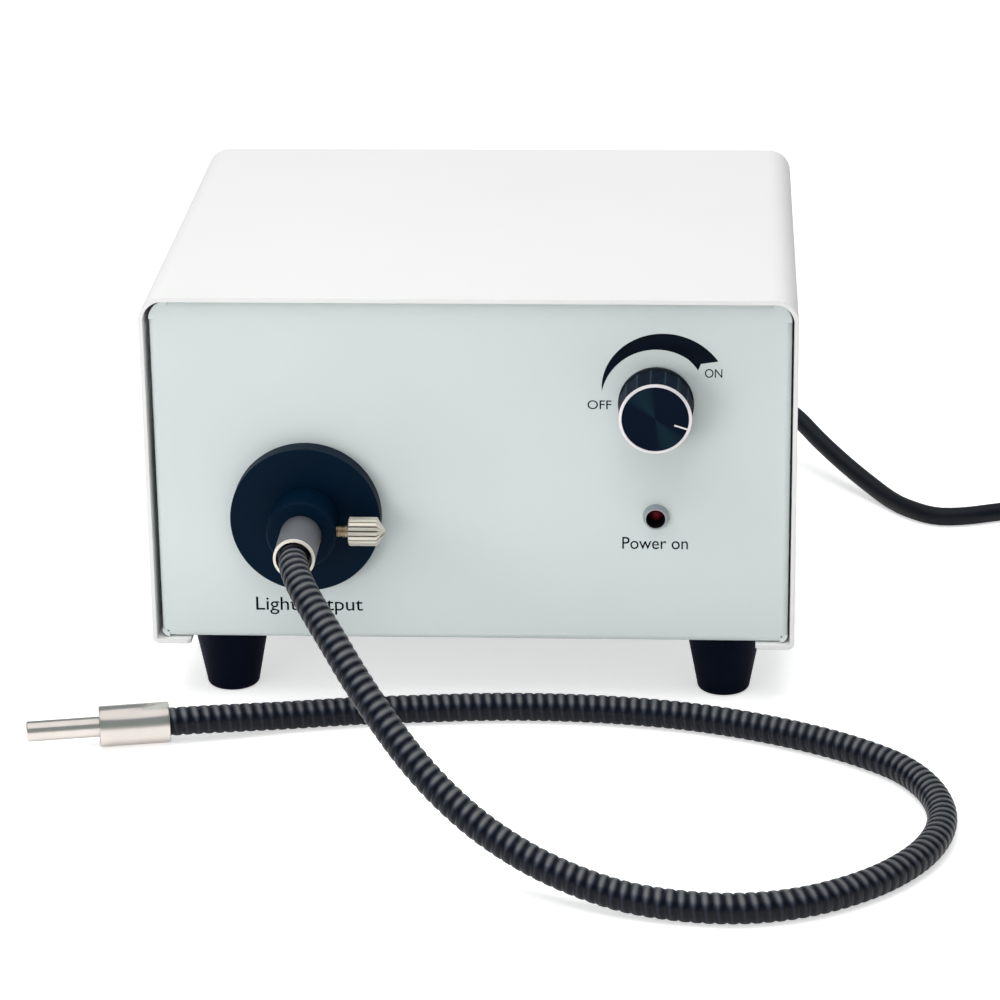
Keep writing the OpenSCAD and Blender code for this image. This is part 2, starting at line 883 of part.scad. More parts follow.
module pot_shaft() {
  color(bright_steel)
    at_knob()
      translate([0, 0, -sheet_t - pot_depth + 2])
        difference() {
          cylinder(d = shaft_d, h = sheet_t + pot_depth - 2 + knob_bore_len - seat);
          // screwdriver slot in the end
          translate([-shaft_d / 2, -0.5, sheet_t + pot_depth + knob_bore_len - seat - 3.2])
            cube([shaft_d, 1, 3]);
        }
}

module pot_body() {
  color(bright_steel)
    at_knob()
      difference() {
        union() {
          translate([0, 0, -sheet_t - pot_depth])
            cylinder(d = 17, h = pot_depth);
          translate([0, 0, -sheet_t - 1])
            cylinder(d = pot_bush_d, h = sheet_t + 1 + pot_nut_t + seat);
        }
        translate([0, 0, -sheet_t - pot_depth + 1.7])
          cylinder(d = shaft_d + 2 * screw_clear, h = 30);
      }
}

module pot_nut() {
  color(bright_steel)
    at_knob()
      difference() {
        cylinder(d = pot_bush_d + 4.4, h = pot_nut_t, $fn = 6);
        translate([0, 0, -1])
          cylinder(d = pot_bush_d + 2 * screw_clear, h = pot_nut_t + 2);
      }
}

// ---------- indicator ----------

led_len = 4.5;
bezel_reach = led_depth + led_len / 2;

module at_led() {
  in_case()
    translate([knob_at, panel_face, led_z])
      forwards()
        children();
}

module led_bezel() {
  color(bright_steel)
    at_led()
      difference() {
        union() {
          cylinder(d1 = bezel_d, d2 = bezel_d - 1.2, h = bezel_h);
          translate([0, 0, -bezel_reach])
            cylinder(d = led_body_d + 2 * seat - 0.1, h = bezel_reach);
        }
        translate([0, 0, -bezel_reach - 1])
          cylinder(d = led_d + 2 * screw_clear, h = bezel_reach + bezel_h);
        translate([0, 0, bezel_h - 1.6])
          cylinder(d1 = led_d + 2 * screw_clear, d2 = bezel_d - 1.9, h = 1.601);
      }
}

led_pitch = 2.54;
lead_d = 0.6;
lead_len = 6;

module led_lamp() {
  color([0.65, 0.05, 0.08])
    at_led()
      union() {
        translate([0, 0, -led_depth - led_len])
          cylinder(d = led_d, h = led_len);
        translate([0, 0, -led_depth])
          intersection() {
            sphere(d = led_d);
            cylinder(d = led_d, h = led_d);
          }
        for (side = [-1, 1])
          translate([side * led_pitch / 2, 0, -led_depth - led_len - lead_len])
            cylinder(d = lead_d, h = lead_len + 0.5);
      }
}

// ---------- lamp ----------

lamp_wall = 1.6;
neck_d = 16;
neck_len = 10;
bracket_hole = lamp_d - 8;
filter_d = 40;
filter_t = 2.5;

module at_lamp() {
  in_case()
    translate([port_at, lamp_u, port_z])
      backwards()
        children();
}

// Radius of the reflector's wall at a share of its depth, 0 at the rim
function reflector_r(share) = neck_d / 2 + (lamp_d - neck_d) / 2 * sqrt(1 - share);

module lamp_reflector() {
  steps = 12;
  color(clear_glass)
    at_lamp()
      difference() {
        union() {
          rotate_extrude()
            polygon(concat(
              [[0, 0]],
              [for (i = [0:steps]) [reflector_r(i / steps), lamp_depth * i / steps]],
              [[0, lamp_depth]]));
          translate([0, 0, lamp_depth - 0.5])
            cylinder(d = neck_d, h = neck_len);
        }
        rotate_extrude()
          polygon(concat(
            [[0, -1], [reflector_r(0) - lamp_wall, -1]],
            [for (i = [0:steps]) [reflector_r(i / steps) - lamp_wall, (lamp_depth - 2) * i / steps]],
            [[0, lamp_depth - 2]]));
        translate([0, 0, lamp_depth - 3])
          cylinder(d = 10 + 2 * screw_clear, h = neck_len + 4);
      }
}

module lamp_capsule() {
  color(clear_glass)
    at_lamp()
      union() {
        translate([0, 0, lamp_depth - 16])
          cylinder(d = 8.5, h = 14);
        translate([0, 0, lamp_depth - 16])
          sphere(d = 8.5);
        translate([0, 0, lamp_depth - 3])
          cylinder(d = 10, h = neck_len + 2);
        for (side = [-1, 1])
          translate([side * 2.65, 0, lamp_depth + neck_len - 2])
            cylinder(d = 1.5, h = 8);
      }
}

module lamp_socket() {
  color(ceramic)
    at_lamp()
      translate([0, 0, lamp_depth + neck_len])
        difference() {
          translate([-9, -6, 0])
            cube([18, 12, 13]);
          for (side = [-1, 1])
            translate([side * 2.65, 0, -1])
              cylinder(d = 1.5 + 2 * screw_clear, h = 9);
        }
}

bracket_margin = 4;
bracket_foot = 10;
finger_w = 6;
finger_len = 6;
finger_t = 1;

module lamp_bracket() {
  half = lamp_d / 2 + bracket_margin;
  color(bright_steel)
    in_case()
      difference() {
        union() {
          // upright plate in front of the lamp's rim
          translate([port_at - half, lamp_u - sheet_t, floor_top + bend_r])
            cube([2 * half, sheet_t, port_z + half - floor_top - bend_r]);
          // bend and foot on the floor
          translate([port_at - half, lamp_u - sheet_t + bend_r, floor_top + bend_r])
            along_x()
              linear_extrude(2 * half)
                rotate(180)
                  bend_2d(bend_r);
          translate([port_at - half, lamp_u - sheet_t + bend_r, floor_top])
            cube([2 * half, bracket_foot, sheet_t]);
          // three fingers that hold the rim
          for (turn = [90, 210, 330])
            translate([port_at, lamp_u, port_z])
              backwards()
                rotate([0, 0, turn])
                  translate([lamp_d / 2 + seat, -finger_w / 2, 0])
                    cube([finger_t, finger_w, finger_len]);
        }
        translate([port_at, lamp_u + 1, port_z])
          forwards()
            cylinder(d = bracket_hole, h = sheet_t + 2);
      }
}

module heat_filter() {
  color(clear_glass)
    in_case()
      translate([port_at, lamp_u - sheet_t, port_z])
        forwards()
          difference() {
            cylinder(d = bracket_hole + 4, h = filter_t);
            // bevelled edge
            difference() {
              translate([0, 0, filter_t - 0.5])
                cylinder(d = bracket_hole + 6, h = 1);
              translate([0, 0, filter_t - 0.5])
                cylinder(d1 = bracket_hole + 4, d2 = bracket_hole + 2, h = 1);
            }
          }
}

baffle_gap = 15;
baffle_at = port_at + lamp_d / 2 + bracket_margin + baffle_gap;
baffle_u = 22;
baffle_drop = 8;
baffle_foot = 8;

// A sheet that stands between the lamp and the electrical side, with its foot on the
// floor
module heat_baffle() {
  baffle_len = rear_inner - fan_t - baffle_u - 4;
  baffle_top = wall_top - baffle_drop;
  color(bright_steel)
    in_case()
      union() {
        translate([baffle_at, baffle_u, floor_top + bend_r])
          cube([sheet_t, baffle_len, baffle_top - floor_top - bend_r]);
        translate([baffle_at + bend_r, baffle_u, floor_top + bend_r])
          backwards()
            linear_extrude(baffle_len)
              rotate(90)
                bend_2d(bend_r);
        translate([baffle_at + bend_r, baffle_u, floor_top])
          cube([baffle_foot, baffle_len, sheet_t]);
      }
}

// ---------- transformer and dimmer ----------

window_w = 11;
limb_w = 22;
window_h = core_h - limb_w;
strap_t = 1.2;
strap_edge = 4;
strap_ear = 10;
ear_hole_d = 4.4;
core_gap = 0.3;
core_to_fuse = 10;
fuse_reach = 28;
transformer_at = case_w / 2 - 49;
transformer_u = rear_inner - fuse_reach - core_to_fuse - core_w / 2;

// The transformer stands with its core's width along the depth of the case
module at_transformer() {
  in_case()
    translate([transformer_at, transformer_u, floor_top + strap_t])
      rotate([0, 0, 90])
        children();
}

module transformer_core() {
  color([0.30, 0.30, 0.32])
    at_transformer()
      difference() {
        translate([-core_w / 2, -core_t / 2, 0])
          cube([core_w, core_t, core_h]);
        for (side = [-1, 1])
          translate([side * (limb_w / 2 + window_w / 2) - window_w / 2, -core_t, limb_w / 2])
            cube([window_w, 2 * core_t, window_h]);
      }
}

module transformer_coil() {
  reach = core_t / 2 + window_w - core_gap;
  wide = limb_w + 2 * window_w - 2 * core_gap;
  color(copper)
    at_transformer()
      translate([0, 0, limb_w / 2 + core_gap])
        linear_extrude(window_h - 2 * core_gap)
          difference() {
            translate([0, -reach])
              rounded_sheet(wide, 2 * reach, 5, 5);
            translate([-limb_w / 2 - core_gap, -core_t / 2 - core_gap])
              square([limb_w + 2 * core_gap, core_t + 2 * core_gap]);
          }
}

module transformer_strap() {
  top = core_h + strap_t;
  band = core_t - 2 * strap_edge;
  half = core_w / 2 + core_gap;
  color(bright_steel)
    at_transformer()
      difference() {
        union() {
          // base, two sides and top around the core
          translate([-half - strap_ear, -band / 2, -strap_t])
            cube([2 * half + 2 * strap_ear, band, strap_t]);
          for (side = [-1, 1])
            translate([side * (half + strap_t / 2) - strap_t / 2, -band / 2, -strap_t])
              cube([strap_t, band, top + core_gap + strap_t]);
          translate([-half - strap_t, -band / 2, core_h + core_gap])
            cube([2 * half + 2 * strap_t, band, strap_t]);
        }
        for (side = [-1, 1])
          translate([side * (half + strap_ear / 2), 0, -strap_t - 1])
            cylinder(d = ear_hole_d, h = strap_t + 2);
      }
}

board_w = 60;
board_h = 52;
board_below_knob = 30.2;
board_low = knob_up - board_below_knob;
capacitor_d = 12;
capacitor_len = 18;
choke_d = 20;
choke_bore_d = 9;
choke_t = 9;
cooler_w = 28;
cooler_depth = 16;
cooler_h = 20;
cooler_base = 4;
fin_pitch = 4.8;
fin_gap = 2.4;

module dimmer_board() {
  color(board_green)
    in_case()
      difference() {
        translate([knob_at - board_w / 2, board_u, board_low])
          cube([board_w, board_t, board_h]);
        for (side = [-1, 1])
          translate([knob_at + side * board_post_x, board_u + board_t + 1, board_low + 6])
            forwards()
              cylinder(d = 3.4, h = board_t + 2);
      }
}

module board_posts() {
  color(bright_steel)
    in_case()
      for (side = [-1, 1])
        translate([knob_at + side * board_post_x, panel_back, board_low + 6])
          backwards()
            union() {
              cylinder(d = 6, h = pot_depth, $fn = 6);
              translate([0, 0, pot_depth - 0.5])
                cylinder(d = 3, h = board_t + 3);
            }
}

module board_parts() {
  upper = board_h - choke_d / 2 - 6;
  in_case()
    translate([knob_at, board_u + board_t, board_low]) {
      // smoothing capacitor
      color([0.10, 0.14, 0.40])
        translate([-board_w / 3, 0, upper])
          backwards()
            cylinder(d = capacitor_d, h = capacitor_len);
      // suppressor choke
      color(copper)
        translate([board_w / 2 - choke_d / 2 - 4, 0, upper])
          backwards()
            difference() {
              cylinder(d = choke_d, h = choke_t);
              translate([0, 0, -1])
                cylinder(d = choke_bore_d, h = choke_t + 2);
            }
      // power switch on its finned cooler
      color(black_metal)
        translate([-cooler_w / 2, 0, cooler_base])
          difference() {
            cube([cooler_w, cooler_depth, cooler_h]);
            for (i = [0:4])
              translate([cooler_w / 2 + (i - 2) * fin_pitch - fin_gap / 2, cooler_base, -1])
                cube([fin_gap, cooler_depth, cooler_h + 2]);
          }
    }
}

block_w = 14;
block_len = 22;
block_h = 12;
block_from_wall = 3.4;
block_pitch = 7;

module terminal_block() {
  color(ceramic)
    in_case()
      translate([transformer_at - 26, rear_inner - block_from_wall - block_len, floor_top])
        difference() {
          cube([block_w, block_len, block_h]);
          for (i = [-1:1])
            translate([-1, block_len / 2 + i * block_pitch, block_h / 2])
              rotate([0, 90, 0])
                cylinder(d = 3, h = block_w + 2);
          for (i = [-1:1])
            translate([block_w / 2, block_len / 2 + i * block_pitch, block_h / 2 + 1])
              cylinder(d = 4, h = block_h);
        }
}

// ---------- fan ----------

hub_d = 34;
rotor_gap = 1.4;
fan_shaft_d = 3;
spider_t = 3.5;
guard_wire = 1.8;
guard_eye_t = 1.4;
guard_low = 1;
guard_rings = [10, 19, 28, 37];

module at_fan() {
  in_case()
    translate([fan_at, rear_inner, fan_z])
      forwards()
        children();
}

module fan_frame() {
  color(black_rubber)
    at_fan()
      difference() {
        union() {
          difference() {
            translate([0, -fan_w / 2, 0])
              linear_extrude(fan_t)
                rounded_sheet(fan_w, fan_w, 4, 4);
            translate([0, 0, -1])
              cylinder(d = fan_bore, h = fan_t + 2);
          }
          // motor plate on four arms, on the rear side
          cylinder(d = hub_d - 4, h = spider_t);
          for (turn = [20:90:290])
            rotate([0, 0, turn])
              translate([hub_d / 2 - 4, -2, 0])
                cube([fan_bore / 2 - hub_d / 2 + 5, 4, spider_t]);
          // bearing tube
          cylinder(d = 8, h = fan_t - 6);
        }
        translate([0, 0, -1])
          cylinder(d = fan_shaft_d + 2 * screw_clear, h = fan_t + 2);
        for (sx = [-1, 1])
          for (sz = [-1, 1])
            translate([sx * fan_hole, sz * fan_hole, -1])
              cylinder(d = fan_screw_d + 2 * screw_clear, h = fan_t + 2);
      }
}

module fan_rotor() {
  rotor_low = spider_t + rotor_gap;
  rotor_t = fan_t - rotor_low - 1.5;
  color(black_rubber)
    at_fan()
      union() {
        // hub cup around the motor, with the blades
        difference() {
          union() {
            translate([0, 0, rotor_low])
              cylinder(d = hub_d, h = rotor_t);
            for (i = [0:blade_count - 1])
              rotate([0, 0, i * 360 / blade_count])
                translate([0, 0, rotor_low])
                  fan_blade(rotor_t);
          }
          translate([0, 0, rotor_low - 1])
            cylinder(d = hub_d - 4, h = rotor_t - 1);
        }
        translate([0, 0, 1])
          cylinder(d = fan_shaft_d, h = rotor_low + rotor_t - 2);
      }
}

// One cambered blade: an arc's section, extruded outwards
module fan_blade(tall) {
  camber_r = 30;
  blade_t = 1.6;
  root = hub_d / 2 - 4.5;
  translate([root, 0, 0])
    along_x()
      linear_extrude(fan_bore / 2 - 2 * rotor_gap - root)
        intersection() {
          translate([-18, -15])
            difference() {
              circle(camber_r);
              circle(camber_r - blade_t);
            }
          translate([-10, 0.5])
            square([22, tall - 1.5]);
        }
}

module fan_guard() {
  color(bright_steel)
    in_case()
      translate([fan_at, rear_face, fan_z])
        backwards()
          union() {
            for (r = guard_rings)
              translate([0, 0, guard_low + guard_wire - seat])
                rotate_extrude()
                  translate([r, 0])
                    circle(d = guard_wire);
            for (turn = [45:90:315])
              rotate([0, 0, turn])
                union() {
                  translate([guard_rings[0] - 1, 0, guard_low])
                    rotate([0, 90, 0])
                      cylinder(d = guard_wire, h = fan_hole * sqrt(2) - guard_rings[0] - 3);
                  translate([fan_hole * sqrt(2), 0, 0])
                    difference() {
                      cylinder(d = 9, h = guard_eye_t);
                      translate([0, 0, -1])
                        cylinder(d = fan_screw_d + 2 * screw_clear, h = guard_eye_t + 2);
                    }
                }
          }
}

module fan_screws() {
  color(bright_steel)
    in_case()
      translate([fan_at, rear_face + guard_eye_t, fan_z])
        forwards()
          for (sx = [-1, 1])
            for (sz = [-1, 1])
              translate([sx * fan_hole, sz * fan_hole, 0])
                pan_screw(fan_screw_d, guard_eye_t + sheet_t + fan_t + 2);
}

// ---------- fuse and mains entry ----------

fuse_cap_d = 14;

module at_fuse() {
  in_case()
    translate([fuse_at, rear_face, fuse_z])
      backwards()
        children();
}

module fuse_holder() {
  color(black_rubber)
    at_fuse()
      difference() {
        union() {
          cylinder(d = 16, h = 2);
          translate([0, 0, -sheet_t - fuse_reach])
            cylinder(d = fuse_d, h = sheet_t + fuse_reach);
        }
        translate([0, 0, 3 - sheet_t - fuse_reach])
          cylinder(d = 8, h = 40);
        translate([0, 0, 0.5])
          cylinder(d = 12, h = 4);
      }
}

module fuse_nut() {
  color(black_rubber)
    at_fuse()
      translate([0, 0, -sheet_t - 3])
        difference() {
          cylinder(d = 18, h = 3, $fn = 6);
          translate([0, 0, -1])
            cylinder(d = fuse_d + 2 * screw_clear, h = 5);
        }
}

module fuse_cap() {
  color(black_rubber)
    at_fuse()
      difference() {
        union() {
          translate([0, 0, 2 + seat])
            cylinder(d = fuse_cap_d, h = 8);
          translate([0, 0, -20])
            cylinder(d = 7.4, h = 23);
        }
        for (turn = [0:30:330])
          rotate([0, 0, turn])
            translate([fuse_cap_d / 2 + 0.5, 0, 3.5])
              cylinder(d = 1.8, h = 8);
        translate([-4, -0.6, 8.8])
          cube([8, 1.2, 3]);
      }
}

relief_grooves = 5;

module strain_relief() {
  bore = cord_d + 0.5;
  color(black_rubber)
    in_case()
      translate([cord_at, rear_face, cord_z])
        backwards()
          difference() {
            union() {
              translate([0, 0, -sheet_t - 5])
                cylinder(d = relief_neck_d, h = sheet_t + 5);
              cylinder(d = 15, h = 3);
              translate([0, 0, 3])
                cylinder(d1 = 12, d2 = bore + 1.6, h = relief_len - 3);
            }
            translate([0, 0, -sheet_t - 6])
              cylinder(d = bore, h = sheet_t + relief_len + 7);
            // flexing grooves
            for (i = [0:relief_grooves - 1])
              translate([0, 0, 8 + i * (relief_len - 11) / relief_grooves])
                difference() {
                  cylinder(d = 14, h = 1.4);
                  translate([0, 0, -1])
                    cylinder(d1 = 10.2 - 0.7 * i, d2 = 10 - 0.7 * i, h = 4);
                }
          }
}

// ---------- mains cord ----------

cord_low = 3;
layer_rise = 6.5;
turn_pitch = 6.5;
coil_inner_r = 24;
turns_in = 3;
turns_out = 3.25;
coil_x = 222;
coil_y = 45.5;
coil_sides = 6;
cord_sides = 10;
coil_lead = 24;
coil_outer_r = coil_inner_r + turns_in * turn_pitch;

// The mains cord's line from inside the rear wall to the coil: down from the strain
// relief's end, then on the table
cord_exit = [cord_at, case_front_y + relief_end, foot_h + cord_z];
mains_drop = [
  [0, -39, 0], [0, -19, 0], [0, 0, 0], [1, 11, -1.5], [6, 23, -5.5], [15, 32.5, -11],
  [27, 36.5, -16.5], [39, 32, -21.5], [49, 23, -25.5], [57.5, 11, -30.5], [66, 0, -35]];
mains_rest = [
  [124, 103, 5], [131, 93, cord_low], [137, 84.5, cord_low], [145, 78.2, cord_low],
  [154.5, 78.4, cord_low], [167, 82.8, cord_low], [180, 86.8, cord_low],
  [196, 88.8, cord_low], [210, 89, cord_low], [coil_x, coil_y + coil_outer_r, cord_low]];
mains_route = concat([for (step = mains_drop) cord_exit + step], mains_rest);

mains_line = smooth_curve(mains_route, 6);
mains_runs = run_lengths(mains_line);
mains_tables = run_tables(mains_line, mains_runs);
mains_len = mains_runs[len(mains_runs) - 1];
mains_rings = 40;

module mains_cord() {
  color(black_rubber)
    solid_tube(
      [for (i = [0:mains_rings - 1])
        let (run = mains_len * i / (mains_rings - 1))
        each ring_points(place_at(mains_tables, run), heading_at(mains_tables, run, mains_len),
          cord_d / 2, cord_sides)],
      mains_rings, cord_sides);
}

// The coil's line: clockwise from its top point, spiralling in, up one layer in
// the half turn where it reverses, and out again
coil_turns = turns_in + turns_out;
function coil_r(turns) = coil_inner_r + turn_pitch * abs(turns - turns_in);
function coil_rise(turns) =
  let (share = min(max((turns - turns_in + 0.25) / 0.5, 0), 1))
  layer_rise * share * share * (3 - 2 * share);
function coil_point(turns) = [
  coil_x + coil_r(turns) * sin(360 * turns),
  coil_y + coil_r(turns) * cos(360 * turns),
  cord_low + coil_rise(turns)];
coil_rings = 24;
coil_count = floor(coil_turns * coil_rings);
coil_start = [coil_x, coil_y + coil_outer_r, cord_low];
coil_end = coil_point(coil_turns);
coil_line = concat(
  [coil_start],
  [for (i = [1:coil_count]) coil_point(coil_turns * i / coil_count)],
  [coil_end + [0, -coil_lead, 0]]);

// The least distance between points of the coil that lie well over half a turn apart
coil_gap = min([
  for (i = [0:len(coil_line) - 1], k = [0:len(coil_line) - 1])
    if (k > i + coil_rings / 2) norm(coil_line[k] - coil_line[i])]) - cord_d;
echo(least_gap_in_coil_mm = coil_gap);

coil_runs = run_lengths(coil_line);
echo(mains_cord_length_mm = mains_len + coil_runs[len(coil_runs) - 1]);

function coil_heading(i) =
  i == 0 ? [1, 0, 0]
  : i >= len(coil_line) - 2 ? [0, -1, 0]
  : unit(coil_line[i + 1] - coil_line[i - 1]);

module mains_coil() {
  color(black_rubber)
    solid_tube(
      [for (i = [0:len(coil_line) - 1])
        each ring_points(coil_line[i], coil_heading(i), cord_d / 2, coil_sides)],
      len(coil_line), coil_sides);
}

plug_len = 36;
plug_w = 26;
plug_low = 9.5;
plug_high = 10.5;
plug_neck = 14;
blade_gap = 12.7;

// The plug's axis: +X here runs out of the cord towards the blades
module at_plug() {
  translate(coil_line[len(coil_line) - 1])
    rotate([0, 0, -90])
      children();
}

module mains_plug() {
  color(black_rubber)
    at_plug()
      union() {
        rotate([0, 90, 0])
          cylinder(d1 = 9, d2 = 12, h = plug_neck + 1);
        hull() {
          for (sy = [-1, 1]) {
            translate([plug_neck + 3, sy * 5, 0])
              sphere(d = 11, $fn = 24);
            translate([plug_neck + 16, sy * (plug_w / 2 - 4), -plug_low + 3])
              sphere(r = 3, $fn = 20);
            translate([plug_neck + 16, sy * (plug_w / 2 - 4), plug_high - 3])
              sphere(r = 3, $fn = 20);
            translate([plug_neck + plug_len - 2, sy * (plug_w / 2 - 3), -plug_low + 3])
              rotate([0, 90, 0])
                cylinder(r = 3, h = 2, $fn = 20);
            translate([plug_neck + plug_len - 2, sy * (plug_w / 2 - 3), plug_high - 3])
              rotate([0, 90, 0])
                cylinder(r = 3, h = 2, $fn = 20);
          }
        }
      }
}

module plug_blades() {
  color(brass)
    at_plug()
      translate([plug_neck + plug_len, 0, 0]) {
        for (side = [-1, 1])
          translate([0, -8.6, side * blade_gap / 2 - 0.75])
            cube([17, 6.3, 1.5]);
        translate([0, 6.5, 0])
          rotate([0, 90, 0])
            union() {
              cylinder(d = 4.8, h = 17.5);
              translate([0, 0, 17.5])
                sphere(d = 4.8);
            }
      }
}

cover();
cover_screws();
chassis();
foot_front_left();
foot_front_right();
foot_rear_left();
foot_rear_right();
foot_screws();
port_flange();
port_nut();
screw_stud();
screw_head();
guide_sleeve();
guide_sheath();
fibre_bundle();
tip_barrel();
tip_tube();
knob_body();
knob_cap();
pot_shaft();
pot_body();
pot_nut();
led_bezel();
led_lamp();
lamp_reflector();
lamp_capsule();
lamp_socket();
lamp_bracket();
heat_filter();
heat_baffle();
transformer_core();
transformer_coil();
transformer_strap();
dimmer_board();
board_posts();
board_parts();
terminal_block();
fan_frame();
fan_rotor();
fan_guard();
fan_screws();
fuse_holder();
fuse_nut();
fuse_cap();
strain_relief();
mains_cord();
mains_coil();
mains_plug();
plug_blades();
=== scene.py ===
"""Dresses the packed fibre optic illuminator: finishes, cords, knob, print and studio."""

import math

import bmesh
import bpy
from mathutils import Matrix, Vector


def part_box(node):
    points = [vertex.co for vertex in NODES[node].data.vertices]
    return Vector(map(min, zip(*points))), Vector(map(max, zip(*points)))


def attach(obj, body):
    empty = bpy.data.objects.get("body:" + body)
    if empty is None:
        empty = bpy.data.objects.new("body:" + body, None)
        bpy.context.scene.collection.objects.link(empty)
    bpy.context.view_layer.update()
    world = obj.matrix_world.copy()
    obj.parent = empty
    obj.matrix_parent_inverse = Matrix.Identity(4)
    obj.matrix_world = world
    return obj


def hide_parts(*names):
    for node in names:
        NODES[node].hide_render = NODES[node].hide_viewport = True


bl_info = {
    "name": "Fibre Optic Illuminator Dressing",
    "version": (1, 0, 0),
    "blender": (4, 5, 0),
    "location": "View3D > Sidebar > Illuminator",
    "description": "Finishes, light guide, mains lead, knob, printing and studio of a bench light source",
    "category": "Object",
}

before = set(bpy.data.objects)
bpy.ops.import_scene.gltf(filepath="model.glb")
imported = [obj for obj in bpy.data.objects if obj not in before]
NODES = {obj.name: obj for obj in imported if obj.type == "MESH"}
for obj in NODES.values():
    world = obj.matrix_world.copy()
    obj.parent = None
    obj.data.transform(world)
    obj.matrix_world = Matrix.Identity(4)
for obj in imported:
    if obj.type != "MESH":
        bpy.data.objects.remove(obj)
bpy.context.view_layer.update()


def middle_of(node):
    """The middle of a CAD node's box."""
    low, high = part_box(node)
    return (low + high) / 2


# Places in the frame, in metres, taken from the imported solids
PANEL_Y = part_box("chassis")[0].y
PORT = middle_of("port_flange")
KNOB = middle_of("knob_body")
KNOB_CENTRE = Vector((KNOB.x, PANEL_Y, KNOB.z))
LED_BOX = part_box("led_bezel")
LED_CENTRE = Vector((middle_of("led_bezel").x, PANEL_Y, middle_of("led_bezel").z))
HEAD_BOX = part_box("screw_head")
HEAD = middle_of("screw_head")
SLEEVE_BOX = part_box("guide_sleeve")
GUIDE_MOUTH = Vector((PORT.x, SLEEVE_BOX[0].y, PORT.z))
RELIEF = middle_of("strain_relief")
RELIEF_END = Vector((RELIEF.x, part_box("strain_relief")[1].y, RELIEF.z))

# Points on the axes of the port, which runs along Y, and of the thumb screw, along X
PORT_AXIS = (PORT.x, 0, PORT.z)
SCREW_AXIS = (0, HEAD.y, HEAD.z)

# How much the knob narrows to its front, and the turn of its grip's ridges from straight up
KNOB_TAPER = 0.0005
RIDGE_TURN = math.radians(7.5)

# The turn of the driver's slot about the thumb screw
SLOT_TURN = math.radians(20)

# How many steps the full turn of a lathed piece takes
FACE_STEPS = 128
TUBE_STEPS = 96
BEZEL_STEPS = 72
SMALL_STEPS = 48
THREAD_STEPS = 40

# Directions that lathed pieces are drawn along
FORWARDS = Vector((0, -1, 0))
BACKWARDS = Vector((0, 1, 0))
RIGHTWARDS = Vector((1, 0, 0))

# The light guide's line in metres: steps from the sleeve's mouth, then places on the table
HOSE_Z = 0.0042
GUIDE_DROP = [
    (0, 0.008, 0), (0, -0.001, 0), (0.0015, -0.009, -0.0007), (0.006, -0.021, -0.0035),
    (0.014, -0.0355, -0.0097), (0.0215, -0.047, -0.0167), (0.0295, -0.057, -0.0242),
    (0.038, -0.066, -0.0317), (0.048, -0.0745, -0.039), (0.060, -0.083, -0.0455),
    (0.075, -0.0915, -0.0509), (0.093, -0.0985, -0.0549), (0.110, -0.1025, -0.0562),
]
GUIDE_REST = [
    (0.079, -0.2165, HOSE_Z), (0.095, -0.2125, HOSE_Z), (0.110, -0.2035, HOSE_Z),
    (0.122, -0.1915, HOSE_Z), (0.1305, -0.177, HOSE_Z), (0.1345, -0.1605, HOSE_Z),
    (0.1325, -0.1435, HOSE_Z), (0.1255, -0.1285, HOSE_Z), (0.114, -0.117, HOSE_Z),
    (0.100, -0.1075, HOSE_Z), (0.084, -0.0995, HOSE_Z), (0.066, -0.093, HOSE_Z),
    (0.047, -0.089, HOSE_Z), (0.027, -0.087, HOSE_Z), (0.007, -0.087, HOSE_Z),
    (-0.013, -0.0888, HOSE_Z), (-0.034, -0.0913, HOSE_Z), (-0.053, -0.0955, 0.0045),
    (-0.066, -0.0994, 0.0053), (-0.079, -0.103, 0.006), (-0.087, -0.1046, 0.006),
]
GUIDE_ROUTE = [GUIDE_MOUTH + Vector(step) for step in GUIDE_DROP] + [Vector(spot) for spot in GUIDE_REST]
TIP_HEADING = Vector((math.cos(math.radians(191.5)), math.sin(math.radians(191.5)), 0))

# The mains lead's line in metres: steps from the strain relief's end, then places on the table
LEAD_Z = 0.003
COIL_CENTRE = Vector((0.222, 0.0455, LEAD_Z))
COIL_INNER_RADIUS = 0.024
COIL_PITCH = 0.0065
COIL_TURNS_IN = 3
COIL_TURNS = 6.25
COIL_LEAD_OUT = 0.024
COIL_OUTER_RADIUS = COIL_INNER_RADIUS + COIL_TURNS_IN * COIL_PITCH
MAINS_DROP = [
    (0, -0.019, 0), (0, 0, 0), (0.001, 0.011, -0.0015), (0.006, 0.023, -0.0055),
    (0.015, 0.0325, -0.011), (0.027, 0.0365, -0.0165), (0.039, 0.032, -0.0215),
    (0.049, 0.023, -0.0255), (0.0575, 0.011, -0.0305), (0.066, 0, -0.035),
]
MAINS_REST = [
    (0.124, 0.103, 0.005), (0.131, 0.093, LEAD_Z), (0.137, 0.0845, LEAD_Z),
    (0.145, 0.0782, LEAD_Z), (0.1545, 0.0784, LEAD_Z), (0.167, 0.0828, LEAD_Z),
    (0.180, 0.0868, LEAD_Z), (0.196, 0.0888, LEAD_Z), (0.210, 0.089, LEAD_Z),
    (COIL_CENTRE.x, COIL_CENTRE.y + COIL_OUTER_RADIUS, LEAD_Z),
]
MAINS_ROUTE = [RELIEF_END + Vector(step) for step in MAINS_DROP] + [Vector(spot) for spot in MAINS_REST]
LEAD_GAP = 0.0035

# The plug's neck behind its body, and how narrow the body is at shares of its length
PLUG_NECK = 0.017
PLUG_WAIST = ((1.0, 0.42), (0.83, 0.62), (0.67, 0.84), (0.5, 0.95))

# The strap round the coil: how far past the turns' middles it goes, and its sizes
TIE_INSIDE = 0.0037
TIE_OUTSIDE = 0.0035
TIE_HEIGHTS = (0.0001, 0.0131)
TIE_WIDTH = 0.010
TIE_CORNER = 0.0042
TIE_THICKNESS = 0.0006

